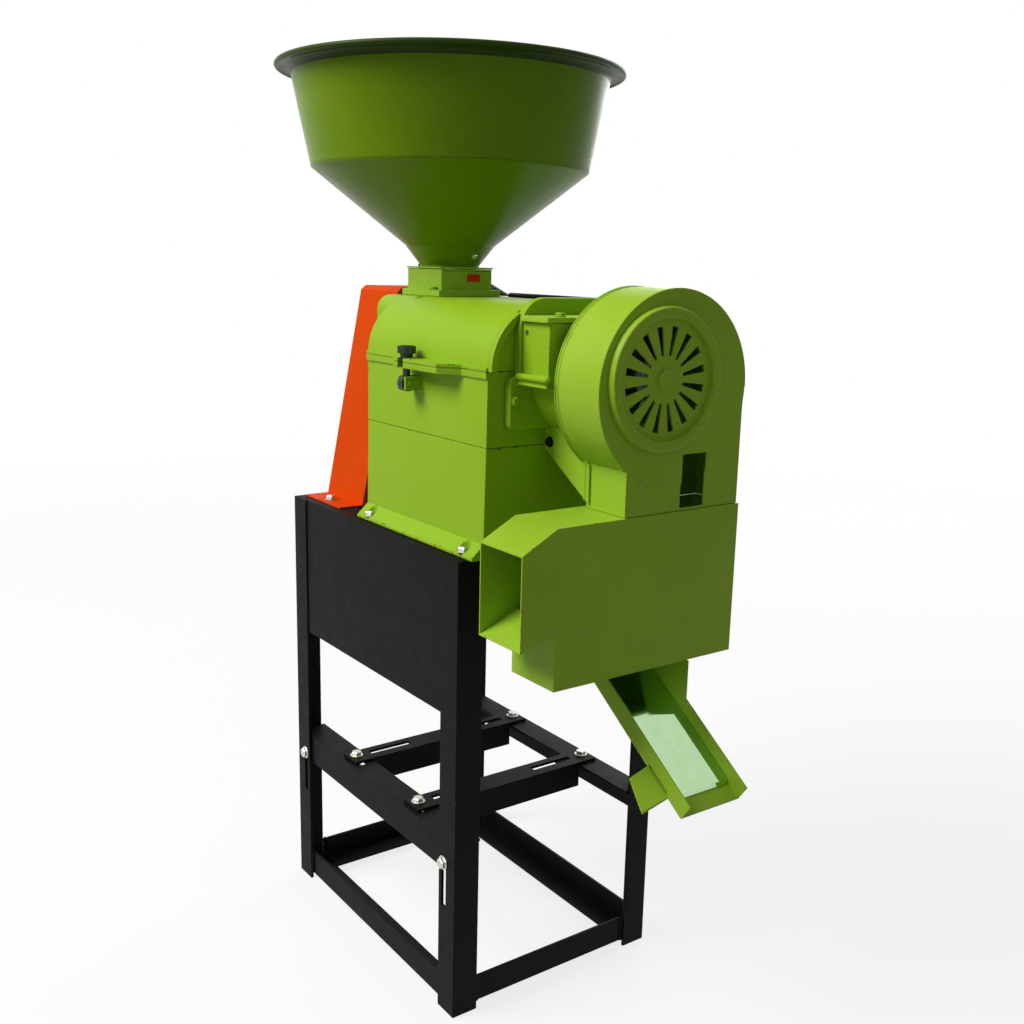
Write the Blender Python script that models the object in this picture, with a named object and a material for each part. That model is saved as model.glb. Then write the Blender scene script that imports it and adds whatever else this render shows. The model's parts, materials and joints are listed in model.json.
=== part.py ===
"""Small combined rice huller: steel stand, milling head, hopper, fan and separator box.

Metres, +Z up. The main shaft runs along X at Y = 0 with the fan at +X, the clamp side
of the head faces -Y, and the origin is on the floor under the middle of the machine.
"""

import math

import bmesh
import bpy

# Stand of angle steel
FRAME_LENGTH = 0.4233
FRAME_HEIGHT = 0.5736
STAND_MARGIN = 0.011
FLANGE = 0.035
ANGLE_WALL = 0.004
PANEL_HEIGHT = 0.1902
PANEL_WALL = 0.002
FOOT_RAIL_Z = 0.0078
FOOT_RAIL_HEIGHT = 0.0339
MID_RAIL_TOP = 0.2258
MID_RAIL_HEIGHT = 0.0414
LEG_BOLT_IN = 0.024
LEG_BOLT_DROP = 0.0287
LEG_SLOT_REACH = 0.058
MOTOR_RAIL_LEFT = -0.300
MOTOR_RAIL_RIGHT = -0.135
MOTOR_RAIL_SHORT = 0.006
MOTOR_SLOT_FROM_BOLT = 0.0212
MOTOR_SLOT_LENGTH = 0.0635
SLOT_REACH = 0.018

# Milling head, along X from the right face of the stand, with heights from the stand or the shaft
SHAFT_RISE = 0.210
HEAD_LEFT = -0.259
HEAD_RIGHT = 0.0096
HEAD_HALF_TOP = 0.1253
SEAM_FLARE = 0.0007
LOW_FLARE = 0.0015
FOOT_FLARE = 0.0155
HEAD_FLARE_Z = 0.018
FOOT_EDGE = 0.004
SEAM_DROP = 0.0836
COVER_RISE = 0.072
COVER_ROUND = 0.070
CAST_WALL = 0.007
FOOT_WALL = 0.006
FOOT_BOLT_IN = 0.026
FOOT_BOLT_EDGE = 0.0065
INLET_OUT = 0.049
INLET_FROM_SIDE = 0.0403
INLET_WALL = 0.018
FEED_LENGTH = 0.037
CLAMP_FROM_RIGHT = 0.137
CLAMP_BAR_REACH = 0.079
CLAMP_BAR_TAPER = 0.020
WING_CLEAR = 0.0008
HINGE_LEFTS = (-0.205, -0.105)
HANDLE_LEFT = -0.250
HANDLE_RIGHT = -0.060
HANDLE_FROM_SIDE = 0.0353
HANDLE_RISE = 0.0005

# Hopper and its feed duct
HOPPER_X = -0.2665
RIM_RADIUS = 0.2155
ROLL_RADIUS = 0.0055
RIM_FLARE = 0.0147
BOWL_TAPER = 0.0233
BOWL_HEIGHT = 0.1156
CONE_HEIGHT = 0.0964
FUNNEL_RADIUS = 0.0563
FUNNEL_HEIGHT = 0.022
NECK_RADIUS = 0.0385
NECK_RISE = 0.0085
DUCT_HALF_X = 0.0415
DUCT_HALF_Y = 0.0385
DUCT_HEIGHT = 0.0319
DUCT_WALL = 0.003
SHEET = 0.0015
CONE_SHEET = 0.00255

# Discharge end
FLANGE_THICK = 0.0114
OUTLET_FLANGE_HALF = 0.103
OUTLET_FLANGE_ROUND = 0.06
OUTLET_FLANGE_DROP = 0.0636
OUTLET_FLANGE_RISE = 0.0564
OUTLET_LENGTH = 0.047
OUTLET_RADIUS = 0.078
OUTLET_HALF = 0.088
OUTLET_RISE = 0.0544
BOSS_BACK = 0.016
DROP_FROM_FLANGE = 0.005
DROP_TO_END = 0.008
DROP_TOP_DEPTH = 0.045
FLAP_FROM_FLANGE = 0.007
FLAP_BELOW_TOP = 0.012
FLAP_REACH_DOWN = 0.042

# Fan and separator box
FAN_CLEAR = 0.0082
FAN_DEPTH = 0.0748
FAN_RADIUS = 0.1042
FAN_Y = 0.018
FAN_DROP = 0.0106
NECK_STEP_BACK = 0.0088
NECK_STEP_FRONT = 0.0015
NECK_LEFT = 0.0623
INLET_RING_RADIUS = 0.0764
RING_DEPTH = 0.0093
WINDOW_OFFSETS = (0.016, 0.051)
WINDOW_HEIGHTS = (0.0032, 0.0622)
BOX_DROP = 0.1332
BOX_HEIGHT = 0.1744
BOX_FRONT_Y = -0.1332
BOX_BACK_MARGIN = 0.0025
BOX_WALL = 0.002
SPOUT_REACH = 0.0438
SPOUT_TOP_DROP = 0.0233
SPOUT_LOW_DROP = 0.1252
SPOUT_ROOT_DROP = 0.1041

# Rice chute
CHUTE_REACH = 0.089
CHUTE_DROP = 0.1334
CHUTE_SLOPE = 0.70
CHUTE_WALL_HEIGHT = 0.0219
CHUTE_LEFT_Y = -0.028
CHUTE_RIGHT_Y = 0.0587
CHUTE_KINK_OUT = 0.002
CHUTE_STEP = 0.0008
SIEVE_LIFT = 0.007
SIEVE_SHORT = 0.015
SIDE_SPOUT_FROM_TIP = (0.054, 0.0205)

# Duct that carries the rice from the outlet to the fan neck: (from the head's end, below the shaft)
DUCT_FRONT_Y = -0.047
DUCT_OUTLINE = (
    (0.0006, 0.0876),
    (0.0006, 0.0616),
    (0.0304, 0.0536),
    (0.0819, 0.0956),
    (0.0824, 0.1391),
)
DUCT_END_HEIGHTS = (0.0112, 0.0462)

# Belt guard
GUARD_LEFT = -0.415
GUARD_RIGHT = -0.312
GUARD_RISE = 0.0814
GUARD_FROM_FRONT = 0.0475
GUARD_FROM_BACK = 0.0225
GUARD_FRONT_LEAN = 0.0549
GUARD_BACK_LEAN = 0.055
GUARD_WALL = 0.002
GUARD_FOOT_FRONT = 0.034
GUARD_FOOT_BACK = 0.016
GUARD_BOLT_IN = 0.050
GUARD_BOLT_FROM_WALL = 0.019

# Running parts
SHAFT_RADIUS = 0.0125
ROLLER_RADIUS = 0.034
ROLLER_CORE = 0.0295
SCREEN_RADIUS = 0.046
SCREEN_WALL = 0.003
SCREW_RADIUS = 0.0355
SCREW_BORE = 0.039
PULLEY_RADIUS = 0.052
PULLEY_WIDTH = 0.042
PULLEY_LEFT = -0.378
IMPELLER_RADIUS = 0.068
IMPELLER_PLATE = 0.034
IMPELLER_HUB = 0.020
IMPELLER_LENGTH = 0.040
BEARING_RADIUS = 0.0235
BEARING_WIDTH = 0.013

GAP = 0.0003
FASTENER_HOLE = 0.0046
FASTENER_RADIUS = 0.004
FASTENER_HEAD = 0.0072
ROUND = 48

# Heights and places that follow from those sizes
SHAFT_Z = FRAME_HEIGHT + SHAFT_RISE
PARTING_Z = SHAFT_Z
SEAM_Z = SHAFT_Z - SEAM_DROP
COVER_TOP = SHAFT_Z + COVER_RISE
HEAD_HALF_SEAM = HEAD_HALF_TOP + SEAM_FLARE
HEAD_HALF_LOW = HEAD_HALF_SEAM + LOW_FLARE
HEAD_HALF_FOOT = HEAD_HALF_LOW + FOOT_FLARE
FOOT_BOLT_Y = HEAD_HALF_FOOT - FOOT_BOLT_EDGE
INLET_LEFT = HEAD_LEFT - INLET_OUT
INLET_HALF = HEAD_HALF_TOP - INLET_FROM_SIDE
CHAMBER_LEFT = HEAD_LEFT + FEED_LENGTH
PANEL_BOTTOM = FRAME_HEIGHT - PANEL_HEIGHT
DUCT_TOP = COVER_TOP + DUCT_HEIGHT
NECK_Z = DUCT_TOP + NECK_RISE
FUNNEL_Z = NECK_Z + FUNNEL_HEIGHT
BREAK_Z = FUNNEL_Z + CONE_HEIGHT
RIM_Z = BREAK_Z + BOWL_HEIGHT
BOWL_TOP_RADIUS = RIM_RADIUS - RIM_FLARE
BREAK_RADIUS = BOWL_TOP_RADIUS - BOWL_TAPER
OUTLET_FLANGE_RIGHT = HEAD_RIGHT + FLANGE_THICK
OUTLET_FLANGE_Z = (SHAFT_Z - OUTLET_FLANGE_DROP, SHAFT_Z + OUTLET_FLANGE_RISE)
OUTLET_RIGHT = OUTLET_FLANGE_RIGHT + OUTLET_LENGTH
OUTLET_TOP = SHAFT_Z + OUTLET_RISE
FAN_BACK = OUTLET_RIGHT + FAN_CLEAR
FAN_FRONT = FAN_BACK + FAN_DEPTH
FAN_Z = SHAFT_Z - FAN_DROP
NECK_BACK = FAN_BACK + NECK_STEP_BACK
NECK_FRONT = FAN_FRONT - NECK_STEP_FRONT
NECK_LEFT_Y = FAN_Y - NECK_LEFT
NECK_RIGHT_Y = FAN_Y + FAN_RADIUS
BOX_TOP = FAN_Z - BOX_DROP
BOX_BOTTOM = BOX_TOP - BOX_HEIGHT
BOX_BACK_Y = NECK_RIGHT_Y + BOX_BACK_MARGIN
WINDOW_Y = (FAN_Y + WINDOW_OFFSETS[0], FAN_Y + WINDOW_OFFSETS[1])
WINDOW_Z = (BOX_TOP + WINDOW_HEIGHTS[0], BOX_TOP + WINDOW_HEIGHTS[1])
SPOUT_MOUTH_Y = BOX_FRONT_Y - SPOUT_REACH
SPOUT_TOP_Z = BOX_TOP - SPOUT_TOP_DROP
SPOUT_LOW_Z = BOX_TOP - SPOUT_LOW_DROP
SPOUT_ROOT_Z = BOX_TOP - SPOUT_ROOT_DROP
CHUTE_TIP_X = FAN_FRONT + CHUTE_REACH
CHUTE_TIP_Z = BOX_BOTTOM - CHUTE_DROP
CHUTE_KINK_X = FAN_FRONT + CHUTE_KINK_OUT
SIEVE_END_X = CHUTE_TIP_X - SIEVE_SHORT
GUARD_TOP = SHAFT_Z + GUARD_RISE

# The chute's end is cut square to its floor, so its walls lean past its tip
CHUTE_ANGLE = math.atan(CHUTE_SLOPE)
CHUTE_LEAN = CHUTE_WALL_HEIGHT * math.sin(CHUTE_ANGLE)
CHUTE_RISE = CHUTE_WALL_HEIGHT / math.cos(CHUTE_ANGLE)

# The right face of the stand, so that the bounding box is centred on X = 0
XR = -(HOPPER_X - RIM_RADIUS - ROLL_RADIUS + CHUTE_TIP_X + CHUTE_LEAN) / 2
XL = XR - FRAME_LENGTH
YB = HEAD_HALF_FOOT + STAND_MARGIN
YF = -YB
GUARD_FRONT_LOW = YF + GUARD_FROM_FRONT
GUARD_FRONT_TOP = GUARD_FRONT_LOW + GUARD_FRONT_LEAN
GUARD_BACK_LOW = YB - GUARD_FROM_BACK
GUARD_BACK_TOP = GUARD_BACK_LOW - GUARD_BACK_LEAN


def clear_scene():
    for item in list(bpy.data.objects):
        bpy.data.objects.remove(item, do_unlink=True)


clear_scene()
PARTS = bpy.data.collections.new("rice_huller")
TOOLS = bpy.data.collections.new("cutting_shapes")
bpy.context.scene.collection.children.link(PARTS)
bpy.context.scene.collection.children.link(TOOLS)


def linear(value):
    if value <= 0.04045:
        return value / 12.92
    return ((value + 0.055) / 1.055) ** 2.4


def material(name, colour, roughness, metallic=0.0):
    made = bpy.data.materials.new(name)
    made.use_nodes = True
    shader = made.node_tree.nodes["Principled BSDF"]
    rgb = [linear(int(colour[i : i + 2], 16) / 255) for i in (0, 2, 4)]
    shader.inputs["Base Color"].default_value = (*rgb, 1.0)
    shader.inputs["Roughness"].default_value = roughness
    shader.inputs["Metallic"].default_value = metallic
    return made


def paint(obj, name, colour, roughness, metallic=0.0):
    obj.data.materials.append(material(name, colour, roughness, metallic))


def mesh_object(name, shape, at, tool):
    mesh = bpy.data.meshes.new(name)
    bmesh.ops.recalc_face_normals(shape, faces=shape.faces)
    shape.to_mesh(mesh)
    shape.free()
    obj = bpy.data.objects.new(name, mesh)
    obj.location = at
    if tool:
        TOOLS.objects.link(obj)
        obj.hide_render = True
        obj.display_type = "WIRE"
    else:
        PARTS.objects.link(obj)
    return obj


def prism(name, outline, axis, low, high, at=(0, 0, 0), tool=False):
    """A polygon drawn in the two other axes, in their order, pushed along the axis."""
    others = [i for i in range(3) if i != axis]
    shape = bmesh.new()
    rings = []
    for level in (low, high):
        ring = []
        for a, b in outline:
            point = [0.0, 0.0, 0.0]
            point[axis] = level - at[axis]
            point[others[0]] = a - at[others[0]]
            point[others[1]] = b - at[others[1]]
            ring.append(shape.verts.new(point))
        rings.append(ring)
    shape.faces.new(rings[0])
    shape.faces.new(list(reversed(rings[1])))
    count = len(outline)
    for i in range(count):
        j = (i + 1) % count
        shape.faces.new((rings[0][j], rings[0][i], rings[1][i], rings[1][j]))
    return mesh_object(name, shape, at, tool)


def box(name, low, high, at=(0, 0, 0), tool=False):
    corners = [(low[0], low[1]), (high[0], low[1]), (high[0], high[1]), (low[0], high[1])]
    return prism(name, corners, 2, low[2], high[2], at, tool)


def circle(centre, radius, count=ROUND, start=0.0, turn=2 * math.pi):
    whole = abs(turn - 2 * math.pi) < 1e-6
    steps = count if whole else count + 1
    points = []
    for i in range(steps):
        angle = start + turn * i / count
        points.append((centre[0] + radius * math.cos(angle), centre[1] + radius * math.sin(angle)))
    return points


def rod(name, axis, centre, radius, low, high, at=(0, 0, 0), tool=False, count=ROUND):
    """A cylinder along one axis; centre is given in the two other axes."""
    return prism(name, circle(centre, radius, count), axis, low, high, at, tool)


def lathe(name, profile, centre, at, axis=2, count=ROUND, tool=False):
    """A closed profile of (radius, height) turned about an axis through the centre."""
    others = [i for i in range(3) if i != axis]
    shape = bmesh.new()
    rings = []
    for step in range(count):
        angle = 2 * math.pi * step / count
        ring = []
        for radius, height in profile:
            point = [0.0, 0.0, 0.0]
            point[axis] = height - at[axis]
            point[others[0]] = centre[0] + radius * math.cos(angle) - at[others[0]]
            point[others[1]] = centre[1] + radius * math.sin(angle) - at[others[1]]
            ring.append(shape.verts.new(point))
        rings.append(ring)
    size = len(profile)
    for step in range(count):
        here = rings[step]
        there = rings[(step + 1) % count]
        for i in range(size):
            j = (i + 1) % size
            shape.faces.new((here[i], here[j], there[j], there[i]))
    return mesh_object(name, shape, at, tool)


def solid(name, corners, at=(0, 0, 0)):
    """A six-sided solid from four lower and four upper corners."""
    shape = bmesh.new()
    verts = [shape.verts.new([p[i] - at[i] for i in range(3)]) for p in corners]
    for face in ((3, 2, 1, 0), (4, 5, 6, 7), (0, 1, 5, 4), (1, 2, 6, 5), (2, 3, 7, 6), (3, 0, 4, 7)):
        shape.faces.new([verts[i] for i in face])
    return mesh_object(name, shape, at, False)


def combine(obj, other, operation):
    modifier = obj.modifiers.new(other.name, "BOOLEAN")
    modifier.operation = operation
    modifier.solver = "EXACT"
    modifier.object = other
    return obj


def cut(obj, *others):
    for other in others:
        combine(obj, other, "DIFFERENCE")
    return obj


def join(obj, *others):
    for other in others:
        combine(obj, other, "UNION")
    return obj


BLACK = ("sprayed black enamel", "242424", 0.45)
LIME = ("lime green enamel", "8FB92E", 0.35)
ORANGE = ("orange enamel", "EB4A05", 0.4)
ZINC = ("zinc plated steel", "B9BBB6", 0.35, 1.0)
IRON = ("turned cast iron", "6E6E6C", 0.5, 0.9)


# The stand
def angle_leg(name, x, y, toward_x, toward_y):
    outline = [
        (x, y),
        (x + toward_x * FLANGE, y),
        (x + toward_x * FLANGE, y + toward_y * ANGLE_WALL),
        (x + toward_x * ANGLE_WALL, y + toward_y * ANGLE_WALL),
        (x + toward_x * ANGLE_WALL, y + toward_y * FLANGE),
        (x, y + toward_y * FLANGE),
    ]
    leg = prism(name, outline, 2, 0.0, FRAME_HEIGHT, (x, y, 0.0))
    slot_x = x + toward_x * LEG_BOLT_IN
    half = FASTENER_HOLE
    low = (slot_x - half, y - 0.01, LEG_BOLT_Z - LEG_SLOT_REACH)
    high = (slot_x + half, y + 0.01, LEG_BOLT_Z + half)
    cut(leg, box(name + "_slot", low, high, tool=True))
    paint(leg, *BLACK)
    return leg


LEG_BOLT_Z = MID_RAIL_TOP - LEG_BOLT_DROP
legs = {}
for side_x, x, toward_x in (("left", XL, 1), ("right", XR, -1)):
    for side_y, y, toward_y in (("front", YF, 1), ("back", YB, -1)):
        key = side_y + "_" + side_x
        legs[key] = angle_leg("leg_" + key, x, y, toward_x, toward_y)

IN = ANGLE_WALL + GAP
RAIL_X = (XL + IN, XR - IN)
RAIL_Y = (YF + IN + FLANGE + GAP, YB - IN - FLANGE - GAP)


def rail_section(outer, inward, top, height, flat_on_top, width=FLANGE):
    """Angle section: an upright flange at the outer face and a flat flange running inward."""
    low = top - height
    wall = ANGLE_WALL
    if flat_on_top:
        return [
            (outer, low),
            (outer + inward * wall, low),
            (outer + inward * wall, top - wall),
            (outer + inward * width, top - wall),
            (outer + inward * width, top),
            (outer, top),
        ]
    return [
        (outer, low),
        (outer + inward * width, low),
        (outer + inward * width, low + wall),
        (outer + inward * wall, low + wall),
        (outer + inward * wall, top),
        (outer, top),
    ]


def rail_along_x(name, back, top, height, flat_on_top):
    outer = YB - IN if back else YF + IN
    section = rail_section(outer, -1 if back else 1, top, height, flat_on_top)
    rail = prism(name, section, 0, RAIL_X[0], RAIL_X[1], (RAIL_X[0], outer, top))
    paint(rail, *BLACK)
    return rail


def rail_along_y(name, right, top, height, flat_on_top):
    outer = XR - IN if right else XL + IN
    section = rail_section(outer, -1 if right else 1, top, height, flat_on_top)
    rail = prism(name, section, 1, RAIL_Y[0], RAIL_Y[1], (outer, RAIL_Y[0], top))
    paint(rail, *BLACK)
    return rail


FOOT_TOP = FOOT_RAIL_Z + FOOT_RAIL_HEIGHT
rails = {}
for side, far in (("front", False), ("back", True)):
    rails["top_" + side] = rail_along_x("top_rail_" + side, far, FRAME_HEIGHT, FLANGE, True)
    rails["mid_" + side] = rail_along_x(
        "mid_rail_" + side, far, MID_RAIL_TOP, MID_RAIL_HEIGHT, True
    )
    rails["foot_" + side] = rail_along_x(
        "foot_rail_" + side, far, FOOT_TOP, FOOT_RAIL_HEIGHT, False
    )
for side, far in (("left", False), ("right", True)):
    rails["top_" + side] = rail_along_y("top_rail_" + side, far, FRAME_HEIGHT, FLANGE, True)
    rails["foot_" + side] = rail_along_y(
        "foot_rail_" + side, far, FOOT_TOP, FOOT_RAIL_HEIGHT, False
    )

panel = box(
    "front_panel",
    (XL + FLANGE + GAP, YF + ANGLE_WALL - PANEL_WALL, PANEL_BOTTOM),
    (XR - FLANGE - GAP, YF + ANGLE_WALL, FRAME_HEIGHT),
    (XL + FLANGE + GAP, YF + ANGLE_WALL, PANEL_BOTTOM),
)
paint(panel, *BLACK)

BOLT_HEAD = 0.0055
NUT_HEIGHT = 0.006
BOLT_END = 0.009

# Slotted rails for a motor, bolted through slots in the two middle rails
MOTOR_RAIL_LENGTH = (YF + IN + MOTOR_RAIL_SHORT, YB - IN - MOTOR_RAIL_SHORT)
BOLT_Y = YB - IN - FLANGE / 2


def bolt(name, axis, centre, seat, thickness, outward=1):
    """Hexagon head on the seat, shank through the thickness, nut on the far side."""
    place = [0.0, 0.0, 0.0]
    others = [i for i in range(3) if i != axis]
    place[axis] = seat
    place[others[0]] = centre[0]
    place[others[1]] = centre[1]
    start = seat + outward * GAP
    top = start + outward * BOLT_HEAD
    nut = seat - outward * (thickness + GAP)
    tip = nut - outward * BOLT_END
    first = rod(name, axis, centre, FASTENER_HEAD, min(start, top), max(start, top), place, count=6)
    overlap = outward * 0.001
    low = min(tip, start + overlap)
    high = max(tip, start + overlap)
    shank = rod(name + "_shank", axis, centre, FASTENER_RADIUS, low, high, tool=True, count=12)
    far = nut - outward * NUT_HEIGHT
    hexagon = rod(
        name + "_nut", axis, centre, FASTENER_HEAD, min(nut, far), max(nut, far), tool=True, count=6
    )
    join(first, shank, hexagon)
    paint(first, *ZINC)
    return first


for name, left in (("motor_rail_left", MOTOR_RAIL_LEFT), ("motor_rail_right", MOTOR_RAIL_RIGHT)):
    low_x = XR + left
    outer = low_x + FLANGE
    base = MID_RAIL_TOP + GAP
    section = [
        (outer, base),
        (outer, base + ANGLE_WALL),
        (low_x, base + ANGLE_WALL),
        (low_x, base),
    ]
    rail = prism(name, section, 1, *MOTOR_RAIL_LENGTH, (low_x + FLANGE / 2, 0.0, base))
    inner_y = RAIL_Y[0] + GAP
    web = [
        (outer, base + ANGLE_WALL / 2),
        (outer - ANGLE_WALL, base + ANGLE_WALL / 2),
        (outer - ANGLE_WALL, base + ANGLE_WALL - FLANGE),
        (outer, base + ANGLE_WALL - FLANGE),
    ]
    join(rail, prism(name + "_web", web, 1, inner_y, -inner_y, tool=True))
    middle = low_x + (FLANGE - ANGLE_WALL) / 2
    for tag, side in (("front", -1), ("back", 1)):
        spot = (middle, side * BOLT_Y)
        hole = rod(name + tag, 2, spot, FASTENER_HOLE, base - 0.01, base + 0.01, tool=True, count=16)
        cut(rail, hole)
        low = (middle - SLOT_REACH - FASTENER_HOLE, spot[1] - FASTENER_HOLE, MID_RAIL_TOP - 0.01)
        high = (middle + SLOT_REACH + FASTENER_HOLE, spot[1] + FASTENER_HOLE, MID_RAIL_TOP + 0.01)
        cut(rails["mid_" + tag], box(name + "_slot_" + tag, low, high, tool=True))
        bolt(name + "_bolt_" + tag, 2, spot, base + ANGLE_WALL, 2 * ANGLE_WALL + GAP)
        edge = side * (BOLT_Y - MOTOR_SLOT_FROM_BOLT - MOTOR_SLOT_LENGTH)
        end = edge + side * MOTOR_SLOT_LENGTH
        low = (middle - FASTENER_HOLE, min(edge, end), base - 0.01)
        high = (middle + FASTENER_HOLE, max(edge, end), base + 0.01)
        cut(rail, box(name + "_motor_slot_" + tag, low, high, tool=True))
    paint(rail, *BLACK)

for side, x in (("left", XL + LEG_BOLT_IN), ("right", XR - LEG_BOLT_IN)):
    spot = (x, LEG_BOLT_Z)
    hole = rod(
        "leg_hole_" + side, 1, spot, FASTENER_HOLE, YF - 0.01, YF + 0.012, tool=True, count=16
    )
    cut(rails["mid_front"], hole)
    bolt("leg_bolt_front_" + side, 1, spot, YF, 2 * ANGLE_WALL + GAP, -1)

# Milling head: base, body and arched cover
HEAD_X = (XR + HEAD_LEFT, XR + HEAD_RIGHT)
BASE_Z = FRAME_HEIGHT + GAP
HOLLOW_X = (HEAD_X[0] + CAST_WALL, HEAD_X[1] - CAST_WALL)
PAST = 0.01


def mirrored(half):
    """A closed outline from its right half, listed bottom to top."""
    return half + [(-y, z) for y, z in reversed(half)]


base_outer = mirrored(
    [
        (HEAD_HALF_FOOT, BASE_Z),
        (HEAD_HALF_FOOT, BASE_Z + FOOT_EDGE),
        (HEAD_HALF_LOW, BASE_Z + HEAD_FLARE_Z),
        (HEAD_HALF_SEAM, SEAM_Z - GAP),
    ]
)
head_base = prism("head_base", base_outer, 0, *HEAD_X, (HEAD_X[0], 0.0, BASE_Z))
inner_half = HEAD_HALF_SEAM - CAST_WALL
base_inner = mirrored([(inner_half, BASE_Z - PAST), (inner_half, SEAM_Z + PAST)])
cut(head_base, prism("base_hollow", base_inner, 0, *HOLLOW_X, tool=True))
FOOT_SEAT = BASE_Z + FOOT_WALL
for side_y, sign in (("front", -1), ("back", 1)):
    for side_x, x in (("left", HEAD_X[0] + FOOT_BOLT_IN), ("right", HEAD_X[1] - FOOT_BOLT_IN)):
        tag = side_y + "_" + side_x
        spot = (x, sign * FOOT_BOLT_Y)
        pocket = rod(
            "foot_pocket_" + tag,
            2,
            spot,
            FASTENER_HEAD + 0.002,
            FOOT_SEAT,
            FOOT_SEAT + 0.03,
            tool=True,
            count=24,
        )
        hole = rod(
            "foot_hole_" + tag, 2, spot, FASTENER_HOLE, BASE_Z - PAST, FOOT_SEAT + 0.001, tool=True, count=16
        )
        cut(head_base, pocket, hole)
        cut(rails["top_" + side_y], hole)
        bolt("foot_bolt_" + tag, 2, spot, FOOT_SEAT, FOOT_WALL + ANGLE_WALL + GAP)
paint(head_base, *LIME)

LIP = 0.0025
BODY_LIP = 0.0075
COVER_LIP = 0.0045
BODY_TOP = PARTING_Z - GAP
body_outer = mirrored(
    [
        (HEAD_HALF_SEAM, SEAM_Z),
        (HEAD_HALF_TOP, PARTING_Z - BODY_LIP - LIP),
        (HEAD_HALF_TOP + LIP, PARTING_Z - BODY_LIP),
        (HEAD_HALF_TOP + LIP, BODY_TOP),
    ]
)
head_body = prism("head_body", body_outer, 0, *HEAD_X, (HEAD_X[0], 0.0, SEAM_Z))
INLET_X = XR + INLET_LEFT
CHAMBER_X = XR + CHAMBER_LEFT
SCREEN_X = CHAMBER_X - 0.005
SCREEN_OUT = SCREEN_RADIUS + SCREEN_WALL
SHAFT_AT = (0.0, SHAFT_Z)
BLOCK_HALF = SCREEN_OUT + 0.009
trough = box(
    "inlet_trough",
    (INLET_X, -INLET_HALF, SHAFT_Z - BLOCK_HALF),
    (HEAD_X[0] + 0.003, INLET_HALF, BODY_TOP),
    tool=True,
)
inner_half = HEAD_HALF_TOP - CAST_WALL
body_inner = mirrored([(inner_half, SEAM_Z - PAST), (inner_half, PARTING_Z + PAST)])
body_hollow = prism("body_hollow", body_inner, 0, *HOLLOW_X, tool=True)
body_block = box(
    "body_block",
    (HEAD_X[0] + 0.001, -BLOCK_HALF, SHAFT_Z - BLOCK_HALF),
    (CHAMBER_X, BLOCK_HALF, BODY_TOP),
    tool=True,
)
HOPPER_PIT = INLET_X + INLET_WALL
screw_bore = rod("screw_bore", 0, SHAFT_AT, SCREW_BORE, HOPPER_PIT, CHAMBER_X + PAST, tool=True)
shaft_bore = rod(
    "shaft_bore", 0, SHAFT_AT, SHAFT_RADIUS + 0.001, INLET_X - PAST, CHAMBER_X, tool=True, count=32
)
BEARING_X = INLET_X + 0.0005
bearing_seat = rod(
    "bearing_seat",
    0,
    SHAFT_AT,
    BEARING_RADIUS + GAP,
    INLET_X - PAST,
    BEARING_X + BEARING_WIDTH + GAP,
    tool=True,
    count=32,
)
screen_bore = rod(
    "screen_bore", 0, SHAFT_AT, SCREEN_OUT + GAP, SCREEN_X - GAP, HEAD_X[1] + PAST, tool=True
)

# Clamp on the front: eye bolt on a pin between two lugs of the body
CLAMP_X = XR - CLAMP_FROM_RIGHT
CLAMP_Y = -(HEAD_HALF_TOP + LIP + 0.013)
CLAMP_Z = PARTING_Z - 0.025
CLAMP_PIN = 0.0035
LUG_WALL = 0.004
EYE_HALF = 0.0055
EYE_RADIUS = 0.0095
STUD_RADIUS = 0.0045
LUG_LEFT = CLAMP_X - 0.017
LUG_RIGHT = CLAMP_X + CLAMP_BAR_REACH
LUG_TOP = PARTING_Z + COVER_LIP
clamp_lugs = []
for tag, side in (("a", -1), ("b", 1)):
    near = CLAMP_X + side * (EYE_HALF + GAP)
    far = near + side * LUG_WALL
    low = (min(near, far), CLAMP_Y - 0.007, CLAMP_Z - 0.008)
    high = (max(near, far), -(HEAD_HALF_TOP - 0.002), CLAMP_Z + 0.008)
    clamp_lugs.append(box("clamp_lug_" + tag, low, high, tool=True))
pin_bore = rod(
    "pin_bore",
    0,
    (CLAMP_Y, CLAMP_Z),
    CLAMP_PIN + GAP,
    CLAMP_X - 2 * PAST,
    CLAMP_X + 2 * PAST,
    tool=True,
    count=24,
)
BAR_Y = (CLAMP_Y - 0.009, -HEAD_HALF_TOP + 0.004)
bar_outline = [
    (LUG_LEFT, BAR_Y[0]),
    (LUG_RIGHT, BAR_Y[0]),
    (LUG_RIGHT + CLAMP_BAR_TAPER, -HEAD_HALF_TOP - LIP + 0.001),
    (LUG_RIGHT + CLAMP_BAR_TAPER, BAR_Y[1]),
    (LUG_LEFT, BAR_Y[1]),
]
body_bar = prism(
    "body_bar",
    bar_outline,
    2,
    PARTING_Z - BODY_LIP + 0.0005,
    BODY_TOP,
    tool=True,
)
cover_bar = prism("cover_bar", bar_outline, 2, PARTING_Z, LUG_TOP, tool=True)
SLOT_HALF = STUD_RADIUS + 0.0013
stud_slot = box(
    "stud_slot",
    (CLAMP_X - SLOT_HALF, BAR_Y[0] - PAST, PARTING_Z - 0.02),
    (CLAMP_X + SLOT_HALF, CLAMP_Y + STUD_RADIUS + 0.002, LUG_TOP + PAST),
    tool=True,
)

# Hinge on the back
KNUCKLE = 0.0085
KNUCKLE_LONG = 0.028
HINGE_PIN = 0.0035
HINGE_Y = HEAD_HALF_TOP + LIP + KNUCKLE + 0.0008
HINGE_Z = PARTING_Z
HINGE_SPOTS = [XR + left for left in HINGE_LEFTS]


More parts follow.
